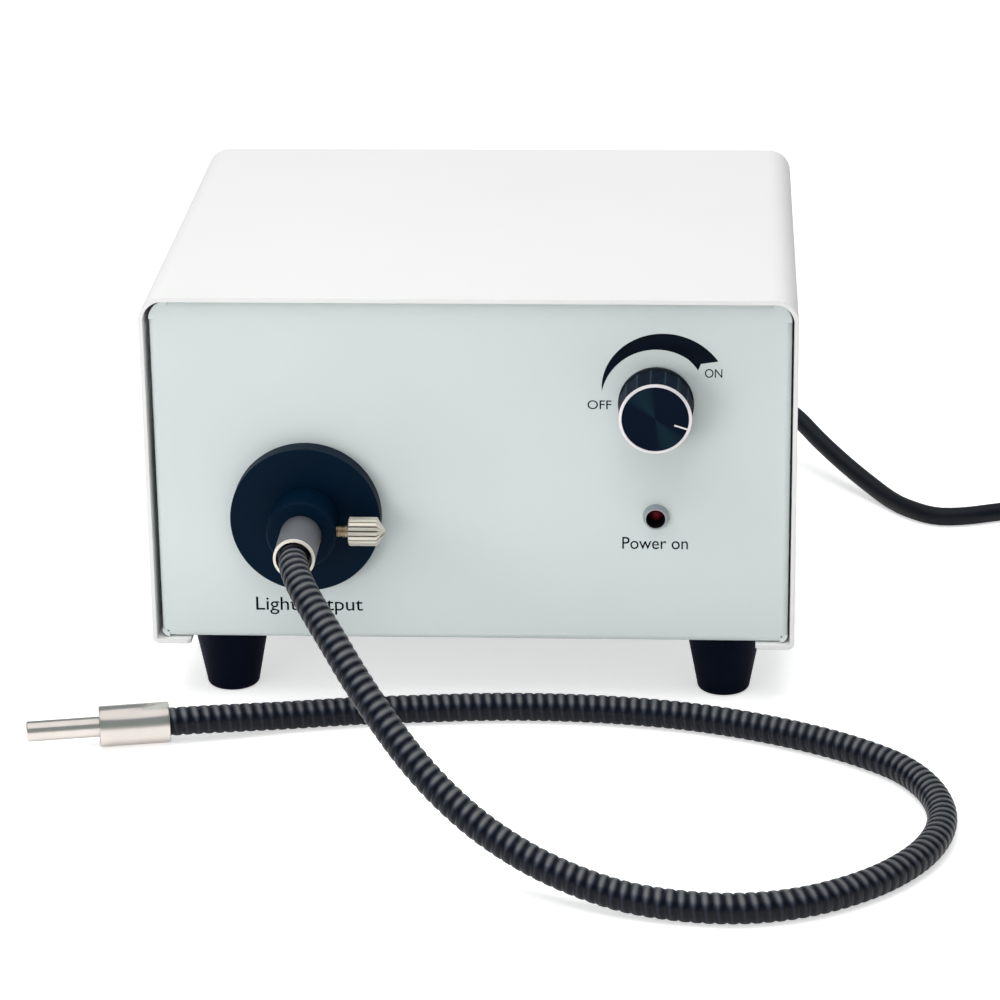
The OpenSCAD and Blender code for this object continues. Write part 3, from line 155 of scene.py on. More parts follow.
# The camera that was fitted to the photograph
CAMERA_PLACE = (0.07059, -1.11241, 0.45391)
CAMERA_PITCH = math.radians(20.524)
CAMERA_YAW = math.radians(3.416)
CAMERA_ROLL = math.radians(-0.725)
CAMERA_LENS = 136.67


# ---------------------------------------------------------------- sizes and colours


def length_setting(name, description, low, high, default):
    """A length in metres that a user may change."""
    return bpy.props.FloatProperty(
        name=name, description=description, unit="LENGTH", min=low, max=high, default=default)


def colour_setting(name, description, default):
    """A colour that a user may change."""
    return bpy.props.FloatVectorProperty(
        name=name, description=description, subtype="COLOR", size=3, min=0, max=1, default=default)


def count_setting(name, description, low, high, default):
    """A whole number that a user may change."""
    return bpy.props.IntProperty(
        name=name, description=description, min=low, max=high, default=default)


def amount_setting(name, description, low, high, default):
    """A plain number that a user may change."""
    return bpy.props.FloatProperty(
        name=name, description=description, min=low, max=high, default=default)


class CaseFinish(bpy.types.PropertyGroup):
    """Colours of the folded sheet metal and of its printing"""

    cover_colour: colour_setting("Cover", "Powder coat of the wrap-around cover", (0.88, 0.88, 0.87))
    panel_colour: colour_setting("Panel", "Paint of the chassis and its front panel", (0.70, 0.765, 0.755))
    ink_colour: colour_setting("Ink", "Screen printing on the front panel", (0.0015, 0.0035, 0.008))
    ink_height: length_setting(
        "Ink height", "How far the printing stands on the panel", 0.00001, 0.0002, 0.00004)


class GuideForm(bpy.types.PropertyGroup):
    """Sizes of the light guide"""

    hose_diameter: length_setting("Hose", "Diameter over the ribs", 0.006, 0.010, 0.0084)
    rib_pitch: length_setting("Rib pitch", "Distance from one rib to the next", 0.002, 0.006, 0.0031)
    rib_depth: length_setting("Rib depth", "Depth of the groove between ribs", 0.0002, 0.0014, 0.00042)
    rib_fullness: amount_setting(
        "Rib fullness", "How far a rib stays full before it falls to the groove", 1.5, 6.0, 3.0)
    fibre_diameter: length_setting("Bundle", "Diameter of the fibre bundle", 0.002, 0.005, 0.0044)
    barrel_diameter: length_setting("Barrel", "Diameter of the tip's barrel", 0.010, 0.014, 0.012)
    barrel_length: length_setting("Barrel length", "Length of the tip's barrel", 0.015, 0.030, 0.0205)
    tip_diameter: length_setting("Tip", "Diameter of the tip's thin tube", 0.005, 0.007, 0.006)
    tip_length: length_setting("Tip length", "Length of the tip's thin tube", 0.010, 0.030, 0.021)


class KnobForm(bpy.types.PropertyGroup):
    """Sizes of the dimmer's knob"""

    diameter: length_setting("Diameter", "Diameter at the collar", 0.018, 0.026, 0.0219)
    height: length_setting("Height", "Height in front of the panel", 0.010, 0.018, 0.015)
    flutes: count_setting("Flutes", "Grip flutes around the knob", 8, 32, 16)
    flute_depth: length_setting("Flute depth", "Depth of the grip's scallops", 0.0002, 0.001, 0.00035)
    rim_width: length_setting("Rim", "Width of the bright turned rim", 0.0003, 0.002, 0.0008)
    pointer_angle: bpy.props.FloatProperty(
        name="Pointer", description="Pointer's angle above the right-hand side",
        subtype="ANGLE", default=math.radians(-18))


class LeadForm(bpy.types.PropertyGroup):
    """Sizes of the mains lead"""

    diameter: length_setting("Diameter", "Diameter of the cord's jacket", 0.005, 0.008, 0.006)
    sides: count_setting("Sides", "Sides of the cord's section", 8, 32, 16)


class StudioLight(bpy.types.PropertyGroup):
    """Lamps and background of the studio"""

    key_power: amount_setting("Key", "Power of the large lamp at the front left, in watts", 0, 200, 1.6)
    fill_power: amount_setting("Fill", "Power of the low lamp at the front, in watts", 0, 200, 0.52)
    top_power: amount_setting("Top", "Power of the large lamp above, in watts", 0, 200, 15.2)
    ambient: amount_setting("Ambient", "Strength of the light from all round", 0, 2, 0.41)
    floor_lift: amount_setting(
        "Floor lift", "How far the floor is lifted to white for the camera", 0, 1, 0.55)


# ---------------------------------------------------------------- modelling helpers


def deselect_all():
    """Leaves object mode with nothing selected."""
    if bpy.context.mode != "OBJECT":
        bpy.ops.object.mode_set(mode="OBJECT")
    bpy.ops.object.select_all(action="DESELECT")


def pick(obj):
    """Makes one object the only selected and active one."""
    deselect_all()
    obj.select_set(True)
    bpy.context.view_layer.objects.active = obj
    return obj


def named(name):
    """Names the object that an operator has just added."""
    obj = bpy.context.object
    obj.name = name
    obj.data.name = name
    return obj


def apply_place(obj):
    """Puts the object's place, turn and scale into its mesh."""
    pick(obj)
    bpy.ops.object.transform_apply(location=True, rotation=True, scale=True)
    return obj


def add_modifier(obj, kind, **settings):
    """Adds one modifier and applies it at once."""
    pick(obj)
    modifier = obj.modifiers.new(kind.lower(), kind)
    for key, value in settings.items():
        setattr(modifier, key, value)
    bpy.ops.object.modifier_apply(modifier=modifier.name)
    return obj


def smooth(obj, angle):
    """Smooth shading that keeps edges sharper than the angle."""
    pick(obj)
    bpy.ops.object.shade_smooth_by_angle(angle=math.radians(angle))
    return obj


def eased(share):
    """A share from 0 to 1 with a soft start and end."""
    share = min(max(share, 0), 1)
    return share * share * (3 - 2 * share)


def upright_of(axis):
    """A direction square to the axis, as near to straight up as it can be."""
    up = Vector((0, 0, 1))
    return (up - axis * up.dot(axis)).normalized() if abs(axis.z) < 0.9 else Vector((1, 0, 0))


def edit_all(obj):
    """Enters edit mode with all of one object selected."""
    pick(obj)
    bpy.ops.object.mode_set(mode="EDIT")
    bpy.ops.mesh.select_all(action="SELECT")


def end_edit():
    """Returns to object mode."""
    bpy.ops.object.mode_set(mode="OBJECT")


def lathe(name, profile, centre, axis, steps):
    """Spins a profile, (along, radius) pairs in metres, about an axis through the centre."""
    centre = Vector(centre)
    out = upright_of(axis)
    points = [centre + axis * along + out * radius for along, radius in profile]
    deselect_all()
    bpy.ops.mesh.primitive_plane_add(size=0.002, location=(0, 0, 0))
    obj = named(name)
    edit_all(obj)
    bpy.ops.mesh.merge(type="CENTER")
    bpy.ops.transform.translate(value=points[0])
    for start, end in zip(points, points[1:]):
        bpy.ops.mesh.extrude_vertices_move(TRANSFORM_OT_translate={"value": end - start})
    bpy.ops.mesh.select_all(action="SELECT")
    bpy.ops.mesh.spin(steps=steps, angle=2 * math.pi, center=centre, axis=axis)
    bpy.ops.mesh.select_all(action="SELECT")
    bpy.ops.mesh.remove_doubles(threshold=0.000002)
    bpy.ops.mesh.normals_make_consistent(inside=False)
    end_edit()
    return obj


def box_at(name, place, size, turn=(0, 0, 0)):
    """A plain box about a place."""
    deselect_all()
    bpy.ops.mesh.primitive_cube_add(size=1, location=place, scale=size, rotation=turn)
    return apply_place(named(name))


def resize_where(obj, test, value, centre):
    """Resizes, about a centre, the vertices whose place passes the test."""
    pick(obj)
    bpy.ops.object.mode_set(mode="EDIT")
    bpy.ops.mesh.select_mode(type="VERT")
    bpy.ops.mesh.select_all(action="DESELECT")
    mesh = bmesh.from_edit_mesh(obj.data)
    chosen = [vertex for vertex in mesh.verts if test(vertex.co)]
    for vertex in chosen:
        vertex.select_set(True)
    mesh.select_flush(True)
    bmesh.update_edit_mesh(obj.data)
    if chosen:
        bpy.ops.transform.resize(value=value, center_override=centre)
    end_edit()


def in_column(angle, column, repeats, per_repeat):
    """Whether an angle is at the given column of vertices from the nearest repeat."""
    turns = angle / (2 * math.pi) * repeats
    return abs(abs(turns - round(turns)) * per_repeat - column) < 0.3


def flat_shape(name, outline, thickness):
    """A thin solid on the XZ plane from a closed outline of (x, z) points, in metres."""
    deselect_all()
    bpy.ops.curve.primitive_nurbs_path_add(location=(0, 0, 0))
    obj = named(name)
    curve = obj.data
    curve.splines.clear()
    curve.dimensions = "2D"
    curve.fill_mode = "BOTH"
    spline = curve.splines.new("POLY")
    spline.points.add(len(outline) - 1)
    for point, (x, z) in zip(spline.points, outline):
        point.co = (x, z, 0, 1)
    spline.use_cyclic_u = True
    obj.rotation_euler = (math.radians(90), 0, 0)
    bpy.ops.object.convert(target="MESH")
    obj = named(name)
    apply_place(obj)
    add_modifier(obj, "SOLIDIFY", thickness=thickness, offset=0)
    return obj


def tube_mesh(name, rings):
    """A smooth mesh of quads through rings of points, with capped ends."""
    sides = len(rings[0])
    points = [point for ring in rings for point in ring]
    faces = [
        (i * sides + k, i * sides + (k + 1) % sides,
         (i + 1) * sides + (k + 1) % sides, (i + 1) * sides + k)
        for i in range(len(rings) - 1) for k in range(sides)]
    faces.append(tuple(reversed(range(sides))))
    faces.append(tuple((len(rings) - 1) * sides + k for k in range(sides)))
    mesh = bpy.data.meshes.new(name)
    mesh.from_pydata(points, [], faces)
    mesh.update()
    obj = bpy.data.objects.new(name, mesh)
    bpy.context.scene.collection.objects.link(obj)
    edit_all(obj)
    bpy.ops.mesh.normals_make_consistent(inside=False)
    end_edit()
    return smooth(obj, 60)


def smooth_line(route, steps):
    """The smooth curve through a route's points, in short steps."""
    line = []
    for i in range(len(route) - 1):
        a, b = route[max(i - 1, 0)], route[i]
        c, d = route[i + 1], route[min(i + 2, len(route) - 1)]
        for k in range(steps):
            t = k / steps
            line.append(0.5 * (
                2 * b + (c - a) * t + (2 * a - 5 * b + 4 * c - d) * t ** 2
                + (3 * b - a - 3 * c + d) * t ** 3))
    line.append(route[-1])
    return line


def even_line(line, gap):
    """The same line with its points an even distance apart."""
    runs = [0.0]
    for start, end in zip(line, line[1:]):
        runs.append(runs[-1] + (end - start).length)
    count = max(2, round(runs[-1] / gap))
    even, at = [], 0
    for i in range(count + 1):
        run = runs[-1] * i / count
        while at < len(runs) - 2 and runs[at + 1] < run:
            at += 1
        share = (run - runs[at]) / max(runs[at + 1] - runs[at], 1e-9)
        even.append(line[at].lerp(line[at + 1], min(share, 1)))
    return even


def ring_frames(line):
    """For each point of a line, the two directions that its ring lies along."""
    frames = []
    for i, point in enumerate(line):
        ahead = line[min(i + 1, len(line) - 1)] - line[max(i - 1, 0)]
        across = ahead.cross(Vector((0, 0, 1))).normalized()
        frames.append((across, across.cross(ahead.normalized())))
    return frames


def swept_rings(line, sides, radius_at):
    """Rings of points along a line; radius_at takes the run and the turn, 0 to 1."""
    rings, run = [], 0.0
    for i, (point, (across, up)) in enumerate(zip(line, ring_frames(line))):
        if i:
            run += (point - line[i - 1]).length
        ring = []
        for k in range(sides):
            turn = k / sides
            radius = radius_at(run, turn)
            angle = 2 * math.pi * turn
            ring.append(point + radius * (math.cos(angle) * across + math.sin(angle) * up))
        rings.append(ring)
    return rings


def round_tube(name, line, sides, diameter):
    """A tube of one diameter along a line."""
    return tube_mesh(name, swept_rings(line, sides, lambda run, turn: diameter / 2))


# ---------------------------------------------------------------- finishes


def wired(tree, kind, inputs=None, **settings):
    """Adds a shader node with its settings, sets or links its inputs, and returns its outputs."""
    node = tree.nodes.new("ShaderNode" + kind)
    for key, value in settings.items():
        setattr(node, key, value)
    for key, value in (inputs or {}).items():
        if isinstance(value, bpy.types.NodeSocket):
            tree.links.new(value, node.inputs[key])
        else:
            node.inputs[key].default_value = value
    return node.outputs


def toned(tree, value, stops, interpolation="LINEAR"):
    """A colour by a value, through (position, colour) stops."""
    node = tree.nodes.new("ShaderNodeValToRGB")
    tree.links.new(value, node.inputs["Fac"])
    node.color_ramp.interpolation = interpolation
    elements = node.color_ramp.elements
    for element, (position, tone) in zip(elements, (stops[0], stops[-1])):
        element.position = position
        element.color = (*tone, 1)
    for position, tone in stops[1:-1]:
        elements.new(position).color = (*tone, 1)
    return node.outputs["Color"]


def shade(tone, factor):
    """A colour made darker or lighter."""
    return tuple(min(channel * factor, 1) for channel in tone)


class Finish:
    """A material: its main shader, and the steps that give it a pattern on Object coordinates."""

    def __init__(self, name, tone, roughness, metallic=0.0, specular=0.5):
        self.material = bpy.data.materials.new(name)
        self.material.use_nodes = True
        self.tree = self.material.node_tree
        self.inputs = self.tree.nodes["Principled BSDF"].inputs
        self.inputs["Base Color"].default_value = (*tone, 1)
        self.inputs["Roughness"].default_value = roughness
        self.inputs["Metallic"].default_value = metallic
        self.inputs["Specular IOR Level"].default_value = specular

    def node(self, kind, inputs=None, **settings):
        """The outputs of a new node."""
        return wired(self.tree, kind, inputs, **settings)

    def place(self, scale=(1, 1, 1), turn=(0, 0, 0), centre=(0, 0, 0)):
        """Object coordinates, turned and scaled, from a centre."""
        shift = tuple(-value for value in centre)
        here = self.node("TexCoord")["Object"]
        return self.node("Mapping", {
            "Vector": here, "Scale": scale, "Rotation": turn, "Location": shift})["Vector"]

    def along(self, centre=(0, 0, 0)):
        """The X, Y and Z distances from a centre."""
        return self.node("SeparateXYZ", {"Vector": self.place(centre=centre)})

    def noise(self, scale, detail=3.0, roughness=0.55, place=None):
        """A noise value."""
        return self.node("TexNoise", {
            "Vector": self.place() if place is None else place, "Scale": scale, "Detail": detail,
            "Roughness": roughness})["Fac"]

    def cells(self, scale):
        """The distance to the middle of the nearest cell."""
        return self.node("TexVoronoi", {"Vector": self.place(), "Scale": scale})["Distance"]

    def off_axis(self, centre, axis):
        """The distance from an axis along X, Y or Z through a centre."""
        steps = self.along(centre)
        first, second = [steps[name] for name in "XYZ" if name != axis]
        joined = self.node("CombineXYZ", {"X": first, "Y": second})["Vector"]
        return self.node("VectorMath", {0: joined}, operation="LENGTH")["Value"]

    def angle(self, centre, turn, level="X"):
        """The angle about a centre, from the level axis upwards, plus a turn."""
        steps = self.along(centre)
        angle = self.node("Math", {0: steps["Z"], 1: steps[level]}, operation="ARCTAN2")["Value"]
        return self.node("Math", {0: angle, 1: turn}, operation="ADD")["Value"]

    def wave(self, value, frequency):
        """The sine of a value times a frequency, 0 to 1."""
        times = self.node("Math", {0: value, 1: frequency}, operation="MULTIPLY")["Value"]
        sine = self.node("Math", {0: times}, operation="SINE")["Value"]
        return self.node("Math", {0: sine, 1: 0.5, 2: 0.5}, operation="MULTIPLY_ADD")["Value"]

    def fade(self, value, start, end, most=1.0):
        """0 before the start, and the most past the end."""
        return self.node("MapRange", {
            "Value": value, "From Min": start, "From Max": end, "To Max": most})["Result"]

    def link(self, output, name):
        """Feeds one of the shader's inputs."""
        self.tree.links.new(output, self.inputs[name])

    def mottle(self, value, dark, light, low=0.3, high=0.7, between=(), interpolation="LINEAR"):
        """Colours the surface from dark to light by a value."""
        stops = [(low, dark), *between, (high, light)]
        self.link(toned(self.tree, value, stops, interpolation), "Base Color")

    def tint(self, share, tone):
        """Mixes one more colour into the surface's."""
        plain = self.inputs["Base Color"].links[0].from_socket
        mixed = self.node("MixRGB", {"Fac": share, "Color1": plain, "Color2": (*tone, 1)})
        self.link(mixed["Color"], "Base Color")

    def roughen(self, value, low, high):
        """Spreads the roughness between two levels by a value."""
        spread = self.node("MapRange", {"Value": value, "To Min": low, "To Max": high})
        self.link(spread["Result"], "Roughness")

    def bump(self, value, strength, distance, before=None):
        """Adds a bump from a height value, on top of an earlier normal if given."""
        inputs = {"Height": value, "Strength": strength, "Distance": distance}
        if before is not None:
            inputs["Normal"] = before
        self.link(self.node("Bump", inputs)["Normal"], "Normal")


def powder_coat(name, tone, grain_scale, grain_height, roughness, mottle):
    """Baked powder coat: a fine orange peel over a slow change of tone, rounded over edges."""
    finish = Finish(name, tone, roughness, specular=0.2)
    finish.mottle(finish.noise(14, 2), shade(tone, 1 - mottle), shade(tone, 1 + mottle * 0.6))
    peel = finish.noise(grain_scale)
    finish.roughen(peel, roughness - 0.06, roughness + 0.08)
    rounded = finish.node("Bevel", {"Radius": 0.0004}, samples=4)["Normal"]
    finish.bump(peel, 0.35, grain_height, rounded)
    return finish


def turned_metal(name, tone, centre, axis, roughness, metallic, lines=9000, specular=0.5):
    """Metal turned on a lathe: fine rings about its axis and a slow stain."""
    finish = Finish(name, tone, roughness, metallic, specular)
    stain = finish.noise(60)
    finish.mottle(stain, shade(tone, 0.92), shade(tone, 1.04))
    finish.roughen(stain, roughness - 0.04, roughness + 0.06)
    finish.bump(finish.wave(finish.off_axis(centre, axis), lines), 0.12, 0.00002)
    return finish


def brushed_along(name, tone, direction, strength=0.10):
    """Metal drawn or turned with fine marks square to the given direction."""
    finish = Finish(name, tone, 0.22, 1.0)
    turn = direction.to_track_quat("X", "Z").inverted().to_euler()
    marks = finish.noise(5200, 2, 0.7, finish.place(scale=(1, 0.02, 0.02), turn=turn))
    finish.mottle(finish.noise(80), shade(tone, 0.93), shade(tone, 1.03))
    finish.roughen(marks, 0.17, 0.30)
    finish.bump(marks, strength, 0.00003)
    return finish


def moulded(name, tone, roughness, grain=900, height=0.00003, specular=0.4):
    """Moulded rubber or plastic with a fine spark grain."""
    finish = Finish(name, tone, roughness, specular=specular)
    slow = finish.noise(40, 2)
    finish.mottle(slow, shade(tone, 0.85), shade(tone, 1.2))
    finish.roughen(slow, roughness - 0.05, roughness + 0.07)
    finish.bump(finish.noise(grain), 0.25, height)
    return finish


def plated_sheet(name, tone, roughness=0.35):
    """Zinc plate: a faint spangle and a fine scratch."""
    finish = Finish(name, tone, roughness, 1.0)
    finish.mottle(finish.cells(260), shade(tone, 0.88), shade(tone, 1.08))
    finish.roughen(finish.noise(90), roughness - 0.08, roughness + 0.12)
    finish.bump(finish.noise(700, 2, place=finish.place(scale=(1, 12, 1))), 0.1, 0.00003)
    return finish


def tinted_glass(name, tone):
    """Clear glass with a faint tint."""
    finish = Finish(name, tone, 0.06)
    finish.inputs["Transmission Weight"].default_value = 0.85
    finish.inputs["IOR"].default_value = 1.46
    fine = finish.noise(120, 2)
    finish.mottle(fine, shade(tone, 0.9), shade(tone, 1.05))
    finish.bump(fine, 0.08, 0.00004)
    return finish


def celled(name, tone, roughness, metallic, scale, dark, light, strength, depth):
    """A surface of small cells: pressed facets, or the polished ends of many fibres."""
    finish = Finish(name, tone, roughness, metallic)
    cells = finish.cells(scale)
    finish.mottle(cells, dark, light)
    finish.bump(cells, strength, depth)
    return finish


def striped(name, tone, roughness, metallic, axis, pitch, dark, light, strength, depth):
    """A surface of even lines across an axis: stacked sheets, or the laps of a tape."""
    finish = Finish(name, tone, roughness, metallic)
    lines = finish.wave(finish.along()[axis], 2 * math.pi / pitch)
    finish.mottle(lines, dark, light)
    finish.bump(lines, strength, depth)
    return finish


def dress(finish, *nodes):
    """Gives CAD nodes their material."""
    for node in nodes:
        obj = NODES[node]
        if not obj.material_slots:
            obj.data.materials.append(finish.material)
        for slot in obj.material_slots:
            slot.material = finish.material


def finish_piece(obj, body, finish, slot, *replaced):
    """Gives a new piece its material and its body, and hides the CAD nodes it stands for. The slot is not
    used.
    """
    obj.data.materials.clear()
    obj.data.materials.append(finish.material)
    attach(obj, body)
    if replaced:
        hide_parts(*replaced)
    return obj


def turned_piece(name, profile, centre, axis, steps, angle, *dressing):
    """Lathes and smooths a piece; the dressing is its body, finish, slot and CAD nodes."""
    return finish_piece(smooth(lathe(name, profile, centre, axis, steps), angle), *dressing)


# ---------------------------------------------------------------- stage


def studio_lamp(name, place, target, size, power, spread=180):
    """A square area lamp that faces a point; metal mirrors the surround instead of it."""
    deselect_all()
    bpy.ops.object.light_add(type="AREA", location=place)
    lamp = named(name)
    lamp.data.shape = "SQUARE"
    lamp.data.size = size
    lamp.data.energy = power
    lamp.data.spread = math.radians(spread)
    lamp.rotation_euler = (Vector(target) - Vector(place)).to_track_quat("-Z", "Y").to_euler()
    lamp.visible_glossy = False


def seen_rays(tree, path, glossy_share):
    """1 for camera and transmission rays and the given share for glossy ones."""
    direct = wired(
        tree, "Math", {0: path["Is Camera Ray"], 1: path["Is Transmission Ray"]}, operation="ADD")
    return wired(
        tree, "Math", {0: path["Is Glossy Ray"], 1: glossy_share, 2: direct["Value"]},
        operation="MULTIPLY_ADD", use_clamp=True)["Value"]


def studio_world(ambient):
    """White behind the object, and soft bands by height for light and for reflections."""
    world = bpy.data.worlds.new("studio surround")
    bpy.context.scene.world = world
    world.use_nodes = True
    tree = world.node_tree
    tree.nodes.clear()
    white = (1, 1, 1)
    path = wired(tree, "LightPath")
    place = wired(tree, "TexCoord")["Generated"]
    level = wired(tree, "SeparateXYZ", {"Vector": place})["Z"]
    height = wired(tree, "MapRange", {"Value": level, "From Min": -1, "From Max": 1})["Result"]
    greys = [(at, (0.97 * tone, 0.99 * tone, tone))
             for at, tone in ((0.44, 0.60), (0.52, 0.30), (0.60, 0.42), (0.74, 0.85))]
    lit = toned(tree, height, [(0.0, (0.75, 0.76, 0.78)), *greys, (1.0, white)])
    mirrored = toned(tree, height, [
        (0.55, (0.60, 0.60, 0.58)), (0.62, (0.25, 0.30, 0.295)), (0.85, (0.27, 0.32, 0.32)),
        (0.885, (0.12, 0.10, 0.19)), (0.92, white)])
    seen = wired(tree, "MixRGB", {
        "Fac": path["Is Camera Ray"], "Color1": mirrored, "Color2": (*white, 1)})["Color"]
    around = wired(tree, "Background", {"Color": lit, "Strength": ambient})["Background"]
    behind = wired(tree, "Background", {"Color": seen, "Strength": 1})["Background"]
    mix = wired(tree, "MixShader", {0: seen_rays(tree, path, 1.0), 1: around, 2: behind})["Shader"]
    wired(tree, "OutputWorld", {"Surface": mix})


def studio_floor(lift):
    """A wide pale floor; towards the camera it is lifted to white and keeps its shadows."""
    deselect_all()
    bpy.ops.mesh.primitive_plane_add(size=16, location=(0, 0, 0))
    floor = named("studio_floor")
    pale = Finish("pale floor", (0.90, 0.90, 0.90), 0.9, specular=0.1)
    pale.bump(pale.noise(300, 2), 0.02, 0.00002)
    seen = seen_rays(pale.tree, pale.node("LightPath"), 0.3)
    strength = pale.node("Math", {0: seen, 1: lift}, operation="MULTIPLY")["Value"]
    glow = pale.node("Emission", {"Color": (1, 1, 1, 1), "Strength": strength})["Emission"]
    plain = pale.tree.nodes["Principled BSDF"].outputs["BSDF"]
    both = pale.node("AddShader", {0: plain, 1: glow})["Shader"]
    pale.tree.links.new(both, pale.tree.nodes["Material Output"].inputs["Surface"])
    floor.data.materials.append(pale.material)


class ILLUMINATOR_OT_stage(bpy.types.Operator):
    """Set up the camera, the lamps, the surround and the floor"""

    bl_idname = "illuminator.stage"
    bl_label = "Studio"

    def execute(self, context):
        light = context.scene.illuminator_light
        deselect_all()
        bpy.ops.object.camera_add(location=CAMERA_PLACE)
        camera = named("photo_camera")
        turn = (
            Matrix.Rotation(CAMERA_YAW, 3, "Z")
            @ Matrix.Rotation(math.pi / 2 - CAMERA_PITCH, 3, "X")
            @ Matrix.Rotation(CAMERA_ROLL, 3, "Z"))
        camera.rotation_euler = turn.to_euler()
        camera.data.sensor_width = 36
        camera.data.lens = CAMERA_LENS
        camera.data.clip_start = 0.05
        camera.data.clip_end = 50
        context.scene.camera = camera
        studio_world(light.ambient)
        studio_lamp("key_lamp", (-0.85, -1.15, 0.60), (0, -0.05, 0.05), 0.9, light.key_power)
        studio_lamp("top_lamp", (-0.15, -0.28, 1.32), (0, 0, 0), 1.3, light.top_power)
        studio_lamp(
            "fill_lamp", (-0.35, -0.72, 0.05), (0.02, -0.08, -0.14), 0.4, light.fill_power, 80)
        studio_floor(light.floor_lift)
        context.scene.view_settings.view_transform = "Standard"
        return {"FINISHED"}


# ---------------------------------------------------------------- light guide


def rib_radius(form):
    """The hose's radius at a run and turn: crowned ribs, wound with a slight lead."""
    outer = form.hose_diameter / 2

    def at(run, turn):
        phase = (run / form.rib_pitch + turn) % 1
        return outer - form.rib_depth * abs(2 * phase - 1) ** form.rib_fullness

    return at


class ILLUMINATOR_OT_light_guide(bpy.types.Operator):
    """Make the ribbed light guide with its fibre bundle and bright tip"""

    bl_idname = "illuminator.light_guide"
    bl_label = "Light guide"

    def execute(self, context):
        form = context.scene.illuminator_guide
        line = smooth_line(GUIDE_ROUTE, 10)
        steps_per_rib, hose_sides, core_sides = 12, 24, 20
        hose_line = even_line(line, form.rib_pitch / steps_per_rib)
        rings = swept_rings(hose_line, hose_sides, rib_radius(form))
        hose = tube_mesh("guide_hose", rings)
        self.write_painted_rib_light(hose, hose_line, rings, form)
        finish_piece(hose, "light_guide", sheath_finish(), "sheath", "guide_sheath")

        start = Vector((PORT.x, SLEEVE_BOX[1].y, PORT.z))
        end = line[-1]
        length, far = form.barrel_length, form.barrel_length + form.tip_length
        core_gap, core_recess = 0.006, 0.0008
        core_line = [start, *even_line(line, core_gap), end + TIP_HEADING * (far - core_recess)]
        core = round_tube("fibre_core", core_line, core_sides, form.fibre_diameter)
        fibre_ends = celled(
            "polished fibre ends", (0.55, 0.60, 0.56), 0.15, 0, 2600,
            (0.75, 0.80, 0.76), (0.20, 0.24, 0.24), 0.3, 0.0001)
        finish_piece(core, "light_guide", fibre_ends, "fibre", "fibre_bundle")

        nickel = brushed_along("bright nickel tip", (0.80, 0.745, 0.70), TIP_HEADING, 0.008)
        wide, thin = form.barrel_diameter / 2, form.tip_diameter / 2
        soft, edge = 0.0005, 0.0003
        bore = form.fibre_diameter / 2 + edge
        barrel = turned_piece("tip_sleeve", [
            (0, bore), (0, wide - soft), (soft * 0.3, wide - soft * 0.3), (soft, wide),
            (length - soft, wide), (length - soft * 0.3, wide - soft * 0.3), (length, wide - soft),
            (length, bore), (0, bore)],
            end, TIP_HEADING, TUBE_STEPS, 25, "light_guide", nickel, "bright_steel", "tip_barrel")
        needle = turned_piece("tip_needle", [
            (length, bore), (length, thin), (far - edge, thin), (far, thin - edge),
            (far, bore), (length, bore)],
            end, TIP_HEADING, TUBE_STEPS, 25, "light_guide", nickel, "bright_steel", "tip_tube")

        self.sleeve(form)
        return {"FINISHED"}

    def write_painted_rib_light(self, hose, line, rings, form):
        """Writes each point's height on its rib, scaled down where the hose faces down: painted sheen on
        upward crests, painted shade in the grooves and underneath.
        """
        # Painted sheen: the share kept on crests that face down, and the upward lean where it starts and
        # where it is full
        least_sheen, sheen_start, full_sheen = 0.36, 0.30, 0.80
        values = []
        for centre, ring in zip(line, rings):
            for point in ring:
                arm = point - centre
                drop = max(form.hose_diameter / 2 - arm.length, 0) / form.rib_depth
                # painted sheen grows on crests that face up; the grooves get painted shade
                upward = (arm.normalized().z - sheen_start) / (full_sheen - sheen_start)
                sheen_share = least_sheen + (1 - least_sheen) * eased(upward)
                values.append(sheen_share * (1 - drop ** (1 / form.rib_fullness)))
        height = hose.data.attributes.new("rib_sheen_shade", "FLOAT", "POINT")
        height.data.foreach_set("value", values)

    def sleeve(self, form):
        """The metal sleeve in the port: a satin nickel tube darkened as a painted reflection of dark
        surroundings, with a thin lip of the same nickel lightened as a painted highlight.
        """
        low, high = SLEEVE_BOX
        wide, bore = (high.z - low.z) / 2, form.fibre_diameter / 2 + 0.0001
        lip, recess, seat = 0.0008, form.hose_diameter / 2 + 0.00005, 0.0082
        length = high.y - low.y
        # painted reflection: the nickel tube made dark grey as if it mirrored dark surroundings
        dark_reflected_nickel = turned_metal("satin sleeve", (0.21, 0.215, 0.24), PORT_AXIS, "Y", 0.42, 0.7)
        turned_piece("port_sleeve", [
            (0, wide - lip), (0, wide - 0.0003), (0.0001, wide - 0.0001), (0.0004, wide),
            (length, wide), (length, bore), (seat, bore), (seat, recess),
            (0.0040, recess), (0.0038, wide - lip - 0.0001), (0, wide - lip)],
            GUIDE_MOUTH, BACKWARDS, TUBE_STEPS, 30, "light_guide", dark_reflected_nickel, "bright_steel",
            "guide_sleeve")
        # painted highlight: the same nickel made bright cream on the lip, where light catches its front
        # face
        highlit_nickel = turned_metal("bright sleeve lip", (0.86, 0.80, 0.70), PORT_AXIS, "Y", 0.30, 0.4)
        turned_piece("sleeve_lip", [
            (0.0002, wide - lip), (-0.00002, wide - lip), (-0.00002, wide - 0.0003),
            (0.00008, wide - 0.00008), (0.0004, wide + 0.00002), (0.0006, wide + 0.00002),
            (0.0006, wide - 0.0002), (0.0002, wide - lip)],
            GUIDE_MOUTH, BACKWARDS, TUBE_STEPS, 30, "light_guide", highlit_nickel, "bright_steel")


